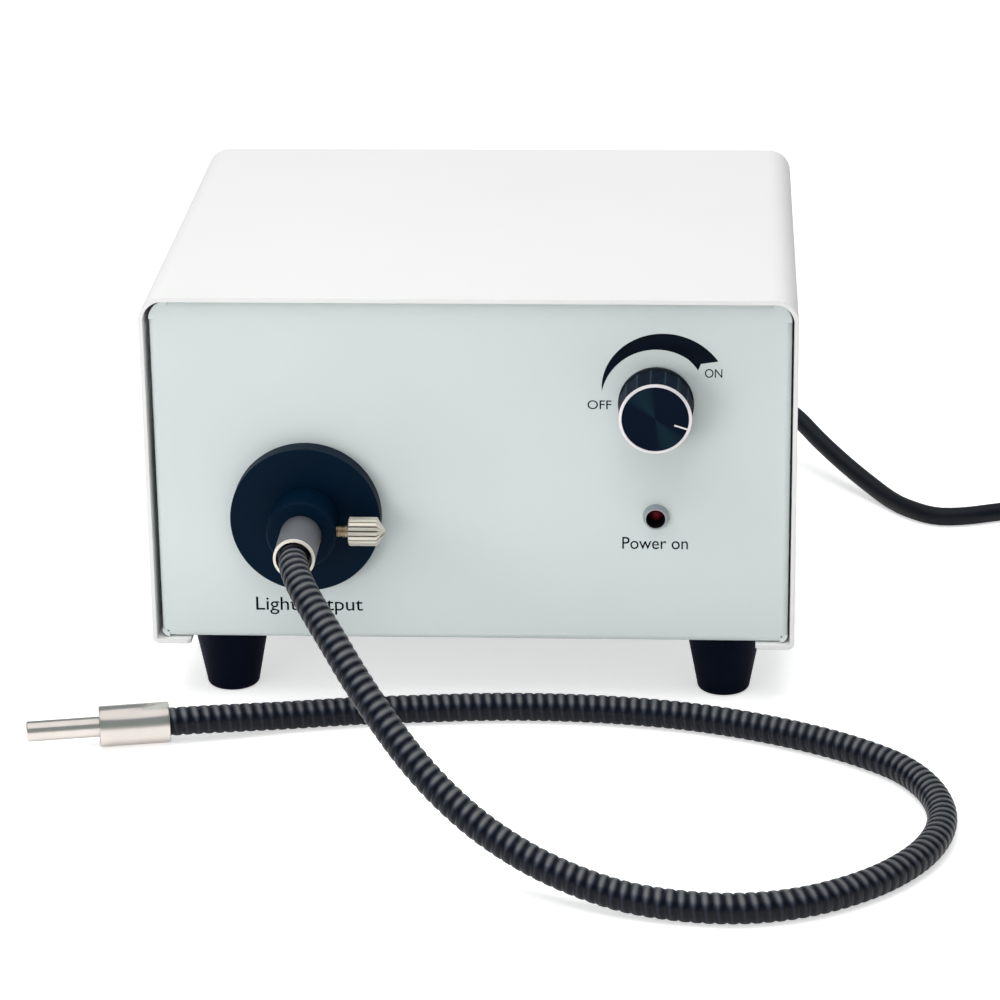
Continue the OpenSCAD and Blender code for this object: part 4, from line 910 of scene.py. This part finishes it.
def sheath_finish():
    """Black vinyl over a wound hose, with painted light: grey painted sheen on upward-facing crests, navy
    painted shade in the grooves.
    """
    finish = Finish("black vinyl hose", (0.03, 0.03, 0.035), 0.30, specular=0.22)
    height = finish.node("Attribute", attribute_name="rib_sheen_shade")["Fac"]
    # painted light: navy painted shade in the grooves and underneath, grey painted sheen on the upper
    # crests
    finish.mottle(
        height, (0.0003, 0.0016, 0.0055), (0.120, 0.122, 0.122), 0.22, 0.85,
        [(0.5, (0.032, 0.038, 0.055))])
    finish.roughen(finish.noise(55), 0.26, 0.36)
    finish.bump(finish.noise(900, 2), 0.12, 0.00004)
    return finish


# ---------------------------------------------------------------- mains lead


def coil_line():
    """The lead's turns: in, up one layer in the half turn where they reverse, and out."""
    per_turn = 36
    steps = int(COIL_TURNS * per_turn)
    line = []
    for i in range(1, steps + 1):
        turns = COIL_TURNS * i / steps
        radius = COIL_INNER_RADIUS + COIL_PITCH * abs(turns - COIL_TURNS_IN)
        rise = COIL_PITCH * eased((turns - COIL_TURNS_IN + 0.25) / 0.5)
        angle = 2 * math.pi * turns
        line.append(COIL_CENTRE + Vector((radius * math.sin(angle), radius * math.cos(angle), rise)))
    return line


class ILLUMINATOR_OT_mains_lead(bpy.types.Operator):
    """Make the mains lead with its coil, its tie and its plug"""

    bl_idname = "illuminator.mains_lead"
    bl_label = "Mains lead"

    def execute(self, context):
        form = context.scene.illuminator_lead
        turns = coil_line()
        line = smooth_line(MAINS_ROUTE, 8) + turns
        line.append(turns[-1] + Vector((0, -COIL_LEAD_OUT, 0)))
        lead = round_tube("mains_lead", even_line(line, LEAD_GAP), form.sides, form.diameter)
        jacket = moulded("black cord jacket", (0.004, 0.006, 0.011), 0.42, 700, 0.00002, 0.25)
        finish_piece(lead, "housing", jacket, "cord_black", "mains_cord", "mains_coil")

        plug = make_plug(line[-1])
        black = moulded("black plug", (0.012, 0.013, 0.016), 0.38)
        finish_piece(plug, "housing", black, "cord_black", "mains_plug")
        dress(brushed_along("plated blades", (0.62, 0.60, 0.55), FORWARDS), "plug_blades")

        tie = make_tie()
        strap = moulded("tie strap", (0.02, 0.02, 0.022), 0.6, 1400, 0.00008)
        finish_piece(tie, "housing", strap, "cord_black")

        dress(moulded("relief rubber", (0.012, 0.013, 0.015), 0.5), "strain_relief")
        return {"FINISHED"}


def make_plug(cord_end):
    """A moulded plug: a tapered block with a waist, grip ribs and soft edges."""
    low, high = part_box("mains_plug")
    middle, size = (low + high) / 2, high - low
    body_length = size.y - PLUG_NECK
    plug = box_at(
        "plug_body", (middle.x, low.y + body_length / 2, middle.z), (size.x, body_length, size.z))
    edit_all(plug)
    bpy.ops.mesh.subdivide(number_cuts=5)
    end_edit()
    for share, narrow in PLUG_WAIST:
        station = low.y + body_length * share
        resize_where(
            plug, lambda co: abs(co.y - station) < body_length * 0.07,
            (narrow, 1, 0.35 + 0.65 * narrow), (middle.x, station, cord_end.z))
    add_modifier(plug, "SUBSURF", levels=2, render_levels=2)
    neck = lathe("plug_neck", [
        (-0.002, 0.0028), (-0.002, 0.0040), (0.000, 0.0044), (0.003, 0.0044), (0.0035, 0.0038),
        (0.0050, 0.0038), (0.0055, 0.0048), (0.0080, 0.0048), (0.0085, 0.0041), (0.0100, 0.0041),
        (0.0105, 0.0052), (0.0130, 0.0052), (0.0135, 0.0045), (0.022, 0.0058), (0.022, 0.0028),
        (-0.002, 0.0028)], cord_end, FORWARDS, SMALL_STEPS)
    smooth(neck, 40)
    pick(plug)
    neck.select_set(True)
    bpy.ops.object.join()
    plug = named("plug_body")
    smooth(plug, 45)
    return plug


def make_tie():
    """A strap round one side of the coil's turns."""
    inner, outer = COIL_INNER_RADIUS - TIE_INSIDE, COIL_OUTER_RADIUS + TIE_OUTSIDE
    low, high = TIE_HEIGHTS
    middle = (COIL_CENTRE.x - (inner + outer) / 2, COIL_CENTRE.y, (low + high) / 2)
    tie = box_at("coil_tie", middle, (outer - inner, TIE_WIDTH, high - low))
    bpy.ops.object.mode_set(mode="EDIT")
    bpy.ops.mesh.select_all(action="DESELECT")
    mesh = bmesh.from_edit_mesh(tie.data)
    for face in mesh.faces:
        face.select_set(abs(face.normal.y) > 0.9)
    bmesh.update_edit_mesh(tie.data)
    bpy.ops.mesh.delete(type="ONLY_FACE")
    end_edit()
    add_modifier(
        tie, "BEVEL", width=TIE_CORNER, segments=6, limit_method="ANGLE",
        angle_limit=math.radians(60))
    add_modifier(tie, "SOLIDIFY", thickness=TIE_THICKNESS, offset=-1)
    return smooth(tie, 50)


# ---------------------------------------------------------------- sheet metal


class ILLUMINATOR_OT_case(bpy.types.Operator):
    """Finish the folded cover, the chassis and their screws"""

    bl_idname = "illuminator.case"
    bl_label = "Case"

    def execute(self, context):
        finish = context.scene.illuminator_case
        white = powder_coat(
            "white powder coat", tuple(finish.cover_colour), 420, 0.00003, 0.42, 0.012)
        dress(white, "cover")
        pale = powder_coat(
            "pale panel paint", tuple(finish.panel_colour), 620, 0.00005, 0.46, 0.025)
        dress(pale, "chassis")
        nickel = plated_sheet("nickel screws", (0.62, 0.61, 0.58), 0.28)
        dress(nickel, "cover_screws", "foot_screws", "fan_screws")
        return {"FINISHED"}


class ILLUMINATOR_OT_feet(bpy.types.Operator):
    """Finish the four rubber feet"""

    bl_idname = "illuminator.feet"
    bl_label = "Feet"

    def execute(self, context):
        rubber = moulded("foot rubber", (0.0008, 0.003, 0.011), 0.5, 520, 0.00005, 0.05)
        dress(rubber, "foot_front_left", "foot_front_right", "foot_rear_left", "foot_rear_right")
        return {"FINISHED"}


# ---------------------------------------------------------------- port and thumb screw


class ILLUMINATOR_OT_port(bpy.types.Operator):
    """Finish the output port and make the clamping screw"""

    bl_idname = "illuminator.port"
    bl_label = "Output port"

    def execute(self, context):
        black = turned_metal(
            "black anodised flange", (0.0006, 0.0085, 0.022), PORT_AXIS, "Y", 0.46, 0.0, 5200, 0.06)
        dress(black, "port_flange")
        dress(moulded("black nut", (0.014, 0.015, 0.018), 0.45), "port_nut")
        self.thumb_screw()
        return {"FINISHED"}

    def thumb_screw(self):
        """A fluted head with a slotted cone, on a threaded stud."""
        grooves, per_groove = 18, 10
        low, high = HEAD_BOX
        radius = (high.z - low.z) / 2
        cone, cone_radius = 0.0023, radius - 0.0006
        length, soft = high.x - low.x - cone, 0.0005
        head = lathe("clamp_head", [
            (0, 0.0016), (0, radius - soft), (0.0002, radius - 0.0001), (soft, radius),
            (length - soft, radius), (length - 0.0002, radius - 0.0001), (length, cone_radius),
            (length + cone * 0.85, cone_radius * 0.17), (length + cone, 0.0002),
            (length + cone, 0)], (low.x, HEAD.y, HEAD.z), RIGHTWARDS, grooves * per_groove)

        def at_column(co, column):
            up, back = co.z - HEAD.z, co.y - HEAD.y
            near = in_column(math.atan2(up, back), column, grooves, per_groove)
            return near and math.hypot(up, back) > cone_radius - 0.0001

        for column, factor in ((0, 0.83), (1, 0.925)):
            resize_where(
                head, lambda co: at_column(co, column), (1, factor, factor),
                (low.x, HEAD.y, HEAD.z))
        slot_cutter = box_at(
            "slot_cutter", (low.x + length + cone, HEAD.y, HEAD.z), (cone * 1.5, 0.0100, 0.00095),
            (SLOT_TURN, 0, 0))
        add_modifier(
            head, "BOOLEAN", object=slot_cutter, operation="DIFFERENCE", solver="EXACT")
        bpy.data.objects.remove(slot_cutter)
        smooth(head, 30)
        nickel = self.head_finish_with_groove_shade(grooves, high.x - cone)
        finish_piece(head, "clamp_head", nickel, "bright_steel", "screw_head")

        stud_low, stud_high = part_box("screw_stud")
        stud_radius = (stud_high.z - stud_low.z) / 2 - 0.0002
        stud_length = stud_high.x - stud_low.x
        pitch, depth = 0.0007, 0.00035
        profile = [(0, 0), (0, stud_radius - 0.0006)]
        along = 0.0004
        while along < stud_length - pitch:
            profile += [(along, stud_radius - depth), (along + pitch * 0.5, stud_radius)]
            along += pitch
        profile += [(stud_length, stud_radius - depth), (stud_length, 0)]
        bronze = turned_metal("plated thread", (0.62, 0.52, 0.40), SCREW_AXIS, "X", 0.28, 1.0)
        turned_piece(
            "clamp_stud", profile, (stud_low.x, HEAD.y, HEAD.z), RIGHTWARDS, THREAD_STEPS, 40,
            "clamp_stud", bronze, "brass", "screw_stud")

    def head_finish_with_groove_shade(self, grooves, cone_start):
        """Nickel with painted shade in its grooves, up to the cone."""
        finish = turned_metal(
            "nickel screw head", (0.80, 0.76, 0.67), SCREW_AXIS, "X", 0.36, 0.65)
        around = finish.wave(finish.angle(SCREW_AXIS, math.pi / 2 / grooves, "Y"), grooves)
        before_cone = finish.fade(finish.along()["X"], cone_start + 0.0003, cone_start - 0.0001)
        # painted shade: the grooves darkened, up to the cone
        finish.tint(finish.fade(around, 0.86, 0.97, before_cone), (0.11, 0.085, 0.065))
        return finish


# ---------------------------------------------------------------- knob


class ILLUMINATOR_OT_knob(bpy.types.Operator):
    """Make the fluted dimmer knob with its turned cap"""

    bl_idname = "illuminator.knob"
    bl_label = "Dimmer knob"

    def execute(self, context):
        form = context.scene.illuminator_knob
        self.grip(form, KNOB_CENTRE)
        self.cap(form, KNOB_CENTRE)
        dress(brushed_along("knob shaft", (0.6, 0.6, 0.58), BACKWARDS), "pot_shaft")
        dress(plated_sheet("dimmer can", (0.66, 0.67, 0.66)), "pot_body")
        dress(plated_sheet("dimmer nut", (0.66, 0.67, 0.66), 0.28), "pot_nut")
        return {"FINISHED"}

    def grip(self, form, centre):
        """The black body: a smooth collar and a scalloped grip that narrows forwards."""
        wide = form.diameter / 2
        front = wide - KNOB_TAPER
        collar, top = 0.0026, form.height - 0.0008
        back, hollow, bore = 0.0004, 0.0078, 0.004
        profile = [
            (back, hollow), (back, wide - 0.0004), (0.0008, wide), (collar - 0.0006, wide),
            (collar - 0.0002, wide - 0.0002), (collar, wide - 0.0006)]
        rows = 6
        for i in range(rows + 1):
            share = i / rows
            profile.append((
                collar + 0.0003 + (top - collar - 0.0003) * share,
                wide - 0.0001 + (front - wide + 0.0001) * share))
        profile += [
            (top + 0.0001, front - 0.0006), (top + 0.0001, bore), (0.0006, bore), (0.0006, hollow),
            (back, hollow)]
        per_flute = 12
        grip = lathe("knob_grip", profile, centre, FORWARDS, form.flutes * per_flute)

        def at_column(co, column):
            across, up = co.x - centre.x, co.z - centre.z
            angle = math.atan2(up, across) - math.pi / 2 - RIDGE_TURN
            near = in_column(angle, column, form.flutes, per_flute)
            return near and math.hypot(across, up) > front - 0.0002 and centre.y - co.y > collar + 0.0002

        half = per_flute // 2
        for column in range(1, half + 1):
            share = 1 - (1 - column / half) ** 2
            factor = 1 - form.flute_depth * share / wide
            resize_where(grip, lambda co: at_column(co, column), (factor, 1, factor), centre)
        smooth(grip, 24)
        finish_piece(grip, "knob", self.grip_finish(form, centre), "knob_black", "knob_body")

    def grip_finish(self, form, centre):
        """Moulded black with a painted highlight along each ridge."""
        finish = moulded("knob plastic", (0.001, 0.005, 0.016), 0.45, 700, 0.00002, 0.03)
        turn = -RIDGE_TURN + math.pi / 2 / form.flutes - math.pi / 2
        ridge_highlight = finish.wave(finish.angle(centre, turn), form.flutes)
        # painted highlight: a lighter line along each ridge of the grip
        finish.tint(finish.fade(ridge_highlight, 0.93, 1.0), (0.014, 0.036, 0.048))
        collar = finish.fade(finish.along()["Y"], PANEL_Y - 0.0034, PANEL_Y - 0.0024)
        finish.tint(collar, (0.010, 0.016, 0.020))
        return finish

    def cap(self, form, centre):
        """The turned cap: a bright cut rim round a dark spun face, with a pointer line."""
        front = form.diameter / 2 - KNOB_TAPER
        back, face = form.height - 0.0012, form.height
        rim_in = front - form.rim_width
        turned_piece("knob_cap_face", [
            (back, 0.002), (back, front - 0.0006), (face - 0.0006, front - 0.0007),
            (face - 0.0003, rim_in - 0.0001), (face - 0.0001, rim_in - 0.0001),
            (face - 0.0001, 0.0)],
            centre, FORWARDS, FACE_STEPS, 25, "knob", self.spun_face(centre), "knob_face",
            "knob_cap")
        bright = turned_metal("bright cut rim", (0.95, 0.90, 0.91), centre, "Y", 0.35, 0.5)
        turned_piece("knob_rim", [
            (face - 0.0007, front - 0.0006), (face - 0.0006, front - 0.00005),
            (face - 0.00045, front + 0.00003), (face - 0.0001, rim_in + 0.00015), (face, rim_in),
            (face - 0.0003, rim_in - 0.0001), (face - 0.0007, front - 0.0006)],
            centre, FORWARDS, FACE_STEPS, 40, "knob", bright, "bright_steel")
        self.pointer(form, centre, face, rim_in, bright)

    def spun_face(self, centre):
        """Black metal with the fine rings of a spun finish, and two faint bright sectors painted as its
        reflection.
        """
        finish = Finish("black spun face", (0.001, 0.007, 0.020), 0.40, specular=0.06)
        reflection_sectors = finish.wave(finish.angle(centre, math.radians(104)), 2)
        # painted reflection: two faint bright sectors across the face
        finish.mottle(
            reflection_sectors, (0.0005, 0.005, 0.016), (0.004, 0.018, 0.030), 0.72, 1.0,
            interpolation="EASE")
        finish.bump(finish.wave(finish.off_axis(centre, "Y"), 16000), 0.12, 0.00002)
        return finish

    def pointer(self, form, centre, face, rim_in, bright):
        """A thin bright line from the middle of the face out to the rim."""
        inner, outer = 0.0057, rim_in + 0.0001
        line = box_at("knob_pointer", (0, 0, 0), (outer - inner, 0.0003, 0.0005))
        add_modifier(line, "BEVEL", width=0.0001, segments=2)
        line.location = centre + Vector((
            math.cos(form.pointer_angle) * (inner + outer) / 2, -face + 0.00012,
            math.sin(form.pointer_angle) * (inner + outer) / 2))
        line.rotation_euler = (0, -form.pointer_angle, 0)
        apply_place(line)
        smooth(line, 30)
        finish_piece(line, "knob", bright, "bright_steel")


# ---------------------------------------------------------------- printing


# The words: where each runs across, how high it stands above the case's foot, and its weight
CASE_FOOT = 0.0195
WORDS = (
    ("word_off", "OFF", (0.0344, 0.0413), (0.0740, 0.0767), 0.0),
    ("word_on", "ON", (0.0682, 0.0732), (0.0838, 0.08645), 0.0),
    ("word_power", "Power on", (0.0444, 0.0636), (0.0308, 0.0345), 0.12),
    ("word_light", "Light output", (-0.0640, -0.0323), (0.0104, 0.0145), 0.12),
)


class ILLUMINATOR_OT_printing(bpy.types.Operator):
    """Print the brightness scale and the plain words on the panel"""

    bl_idname = "illuminator.printing"
    bl_label = "Printing"

    def execute(self, context):
        finish = context.scene.illuminator_case
        ink = self.ink_finish(tuple(finish.ink_colour))
        height = finish.ink_height
        scale = flat_shape("brightness_scale", self.scale_outline(), height)
        scale.location.y = PANEL_Y - height / 2
        apply_place(scale)
        finish_piece(scale, "housing", ink, "knob_black")
        for name, text, (left, right), (low, high), weight in WORDS:
            self.word(name, text, left, right, low + CASE_FOOT, high + CASE_FOOT, height, weight, ink)
        return {"FINISHED"}

    def scale_outline(self):
        """A crescent round the knob that widens clockwise and ends in a notched tip."""
        inner, inner_tip, grown, swell = 0.016, 0.0155, 0.0058, 1.9
        first, last, inner_last = 168.0, 35.0, 39.0
        notch = self.polar(0.0174, math.radians(42.5))
        steps, tip_steps = 48, 6
        outer_points, inner_points = [], []
        for i in range(steps + 1):
            share = i / steps
            angle = math.radians(first + (last - first) * share)
            outer_points.append(self.polar(inner + grown * (1 - (1 - share) ** swell), angle))
            angle = math.radians(inner_last + (first - inner_last) * share)
            radius = inner_tip + (inner - inner_tip) * min(i / tip_steps, 1)
            inner_points.append(self.polar(radius, angle))
        return outer_points + [notch] + inner_points[:-1]

    def polar(self, radius, angle):
        """A point of the panel at a radius and angle about the knob's axis."""
        return (KNOB.x + radius * math.cos(angle), KNOB.z + radius * math.sin(angle))

    def word(self, name, text, left, right, low, high, height, weight, ink):
        """One word, scaled to its printed width and height."""
        deselect_all()
        bpy.ops.object.text_add(location=(0, 0, 0))
        label = named(name)
        label.data.body = text
        label.data.size = 0.01
        label.data.offset = 0.0001 * weight
        label.data.resolution_u = 6
        bpy.ops.object.convert(target="MESH")
        label = named(name)
        xs = [vertex.co.x for vertex in label.data.vertices]
        ys = [vertex.co.y for vertex in label.data.vertices]
        cap_low = 0.0 if weight else min(ys)
        wide, tall = max(xs) - min(xs), max(ys) - cap_low
        label.scale = ((right - left) / wide, (high - low) / tall, 1)
        label.rotation_euler = (math.radians(90), 0, 0)
        label.location = (
            left - min(xs) * label.scale[0], PANEL_Y - height / 2, low - cap_low * label.scale[1])
        apply_place(label)
        add_modifier(label, "SOLIDIFY", thickness=height, offset=0)
        finish_piece(label, "housing", ink, "knob_black")

    def ink_finish(self, tone):
        """Screen ink: nearly black, slightly uneven."""
        finish = Finish("screen ink", tone, 0.5, specular=0.06)
        finish.mottle(finish.noise(300), tone, shade(tone, 1.8))
        finish.bump(finish.noise(2400, 2), 0.15, 0.00002)
        return finish


# ---------------------------------------------------------------- indicator


class ILLUMINATOR_OT_indicator(bpy.types.Operator):
    """Make the indicator's bezel and its recessed red lamp"""

    bl_idname = "illuminator.indicator"
    bl_label = "Indicator"

    def execute(self, context):
        low, high = LED_BOX
        stand = PANEL_Y - low.y
        wide, mouth = (high.z - low.z) / 2, 0.00285
        grey = turned_metal("grey bezel", (0.40, 0.43, 0.46), LED_CENTRE, "Y", 0.34, 0.5)
        turned_piece("indicator_bezel", [
            (0, wide), (0.0004, wide), (stand - 0.0004, mouth + 0.00055), (stand, mouth + 0.0003),
            (stand, mouth), (-0.004, mouth - 0.0002), (-0.004, mouth + 0.0001), (0, mouth + 0.0001),
            (0, wide)],
            LED_CENTRE, FORWARDS, BEZEL_STEPS, 30, "housing", grey, "bright_steel", "led_bezel")
        black = moulded("black lining", (0.004, 0.005, 0.008), 0.5)
        turned_piece("indicator_lining", [
            (stand - 0.0003, mouth - 0.00001), (stand - 0.0003, mouth - 0.00012),
            (-0.0038, mouth - 0.0003), (-0.0038, mouth - 0.0002)],
            LED_CENTRE, FORWARDS, BEZEL_STEPS, 30, "housing", black, "fan_black")
        tip, radius, steps = PANEL_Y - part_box("led_lamp")[0].y, 0.0025, 10
        dome = [(tip - 0.0074, 0), (tip - 0.0074, radius), (tip - radius, radius)]
        for i in range(1, steps + 1):
            angle = math.pi / 2 * i / steps
            dome.append((tip - radius + radius * math.sin(angle), radius * math.cos(angle)))
        red = Finish("red lens", (0.16, 0.004, 0.010), 0.5, specular=0.3)
        red.mottle(red.noise(500, 2), (0.12, 0.003, 0.008), (0.20, 0.006, 0.012))
        turned_piece(
            "indicator_lamp", dome, LED_CENTRE, FORWARDS, SMALL_STEPS, 60,
            "housing", red, "led_red", "led_lamp")
        return {"FINISHED"}


# ---------------------------------------------------------------- inner parts


class ILLUMINATOR_OT_inner_parts(bpy.types.Operator):
    """Finish the lamp, the transformer, the dimmer and the sheet parts inside"""

    bl_idname = "illuminator.inner_parts"
    bl_label = "Inner parts"

    def execute(self, context):
        silver = (0.62, 0.66, 0.74)
        facets = celled(
            "dichroic reflector", silver, 0.12, 0.6, 380, shade(silver, 0.7), shade(silver, 1.1),
            0.6, 0.0006)
        dress(facets, "lamp_reflector")
        dress(tinted_glass("capsule glass", (0.92, 0.94, 0.95)), "lamp_capsule")
        dress(tinted_glass("heat glass", (0.72, 0.86, 0.80)), "heat_filter")
        ceramic = moulded("lamp ceramic", (0.72, 0.70, 0.62), 0.6, 300, 0.0001)
        dress(ceramic, "lamp_socket", "terminal_block")
        zinc = plated_sheet("zinc plate", (0.62, 0.63, 0.62))
        dress(zinc, "lamp_bracket", "heat_baffle", "transformer_strap")
        sheets = striped(
            "varnished laminations", (0.10, 0.10, 0.11), 0.45, 0.6, "Y", 0.0005,
            (0.05, 0.05, 0.055), (0.15, 0.15, 0.16), 0.4, 0.0001)
        dress(sheets, "transformer_core")
        tape = striped(
            "winding tape", (0.62, 0.44, 0.08), 0.28, 0, "Z", 0.006,
            (0.50, 0.34, 0.05), (0.72, 0.54, 0.12), 0.5, 0.0002)
        dress(tape, "transformer_coil")
        dress(self.board(), "dimmer_board")
        dress(plated_sheet("board posts", (0.66, 0.64, 0.58), 0.25), "board_posts")
        dress(moulded("component bodies", (0.05, 0.06, 0.14), 0.3, 500), "board_parts")
        return {"FINISHED"}

    def board(self):
        """Green lacquer over copper tracks."""
        finish = Finish("lacquered board", (0.02, 0.12, 0.05), 0.3)
        tracks = finish.node("TexBrick", {
            "Vector": finish.place(turn=(math.radians(90), 0, 0)), "Scale": 120,
            "Color1": (0.02, 0.13, 0.05, 1), "Color2": (0.02, 0.11, 0.045, 1),
            "Mortar": (0.06, 0.24, 0.10, 1)})
        finish.link(tracks["Color"], "Base Color")
        finish.bump(tracks["Fac"], 0.2, 0.00005)
        return finish


# ---------------------------------------------------------------- rear wall


class ILLUMINATOR_OT_rear(bpy.types.Operator):
    """Finish the fan with its guard and the fuse holder"""

    bl_idname = "illuminator.rear"
    bl_label = "Rear wall"

    def execute(self, context):
        dress(moulded("fan frame", (0.016, 0.016, 0.017), 0.42, 500), "fan_frame")
        dress(moulded("fan rotor", (0.020, 0.020, 0.021), 0.36, 700, 0.00002), "fan_rotor")
        wire = Finish("bright guard wire", (0.78, 0.78, 0.77), 0.14, 1.0)
        wire.roughen(wire.noise(200), 0.10, 0.22)
        wire.bump(wire.noise(600, 2), 0.08, 0.00003)
        dress(wire, "fan_guard")
        black = moulded("fuse black", (0.012, 0.012, 0.013), 0.34, 600, 0.00002)
        dress(black, "fuse_holder", "fuse_nut", "fuse_cap")
        return {"FINISHED"}


# ---------------------------------------------------------------- panel and registration

OPERATORS = (
    ILLUMINATOR_OT_stage,
    ILLUMINATOR_OT_light_guide,
    ILLUMINATOR_OT_mains_lead,
    ILLUMINATOR_OT_case,
    ILLUMINATOR_OT_feet,
    ILLUMINATOR_OT_port,
    ILLUMINATOR_OT_knob,
    ILLUMINATOR_OT_printing,
    ILLUMINATOR_OT_indicator,
    ILLUMINATOR_OT_inner_parts,
    ILLUMINATOR_OT_rear,
)


class ILLUMINATOR_PT_sidebar(bpy.types.Panel):
    """Lists the sizes and the pieces of the illuminator"""

    bl_label = "Illuminator"
    bl_space_type = "VIEW_3D"
    bl_region_type = "UI"
    bl_category = "Illuminator"

    def draw(self, context):
        scene = context.scene
        for group in (scene.illuminator_case, scene.illuminator_guide, scene.illuminator_knob,
                      scene.illuminator_lead, scene.illuminator_light):
            box = self.layout.box()
            for name in group.__annotations__:
                box.prop(group, name)
        for operator in OPERATORS:
            self.layout.operator(operator.bl_idname)


SETTINGS = (
    ("illuminator_case", CaseFinish),
    ("illuminator_guide", GuideForm),
    ("illuminator_knob", KnobForm),
    ("illuminator_lead", LeadForm),
    ("illuminator_light", StudioLight),
)


def register():
    """Registers the settings, the operators and the panel."""
    for name, group in SETTINGS:
        bpy.utils.register_class(group)
        setattr(bpy.types.Scene, name, bpy.props.PointerProperty(type=group))
    for operator in OPERATORS:
        bpy.utils.register_class(operator)
    bpy.utils.register_class(ILLUMINATOR_PT_sidebar)


def unregister():
    """Takes the panel, the operators and the settings away again."""
    bpy.utils.unregister_class(ILLUMINATOR_PT_sidebar)
    for operator in reversed(OPERATORS):
        bpy.utils.unregister_class(operator)
    for name, group in reversed(SETTINGS):
        delattr(bpy.types.Scene, name)
        bpy.utils.unregister_class(group)


def main():
    """Makes every piece in order."""
    register()
    bpy.ops.illuminator.stage()
    bpy.ops.illuminator.light_guide()
    bpy.ops.illuminator.mains_lead()
    bpy.ops.illuminator.case()
    bpy.ops.illuminator.feet()
    bpy.ops.illuminator.port()
    bpy.ops.illuminator.knob()
    bpy.ops.illuminator.printing()
    bpy.ops.illuminator.indicator()
    bpy.ops.illuminator.inner_parts()
    bpy.ops.illuminator.rear()
    deselect_all()


if __name__ == "__main__":
    main()
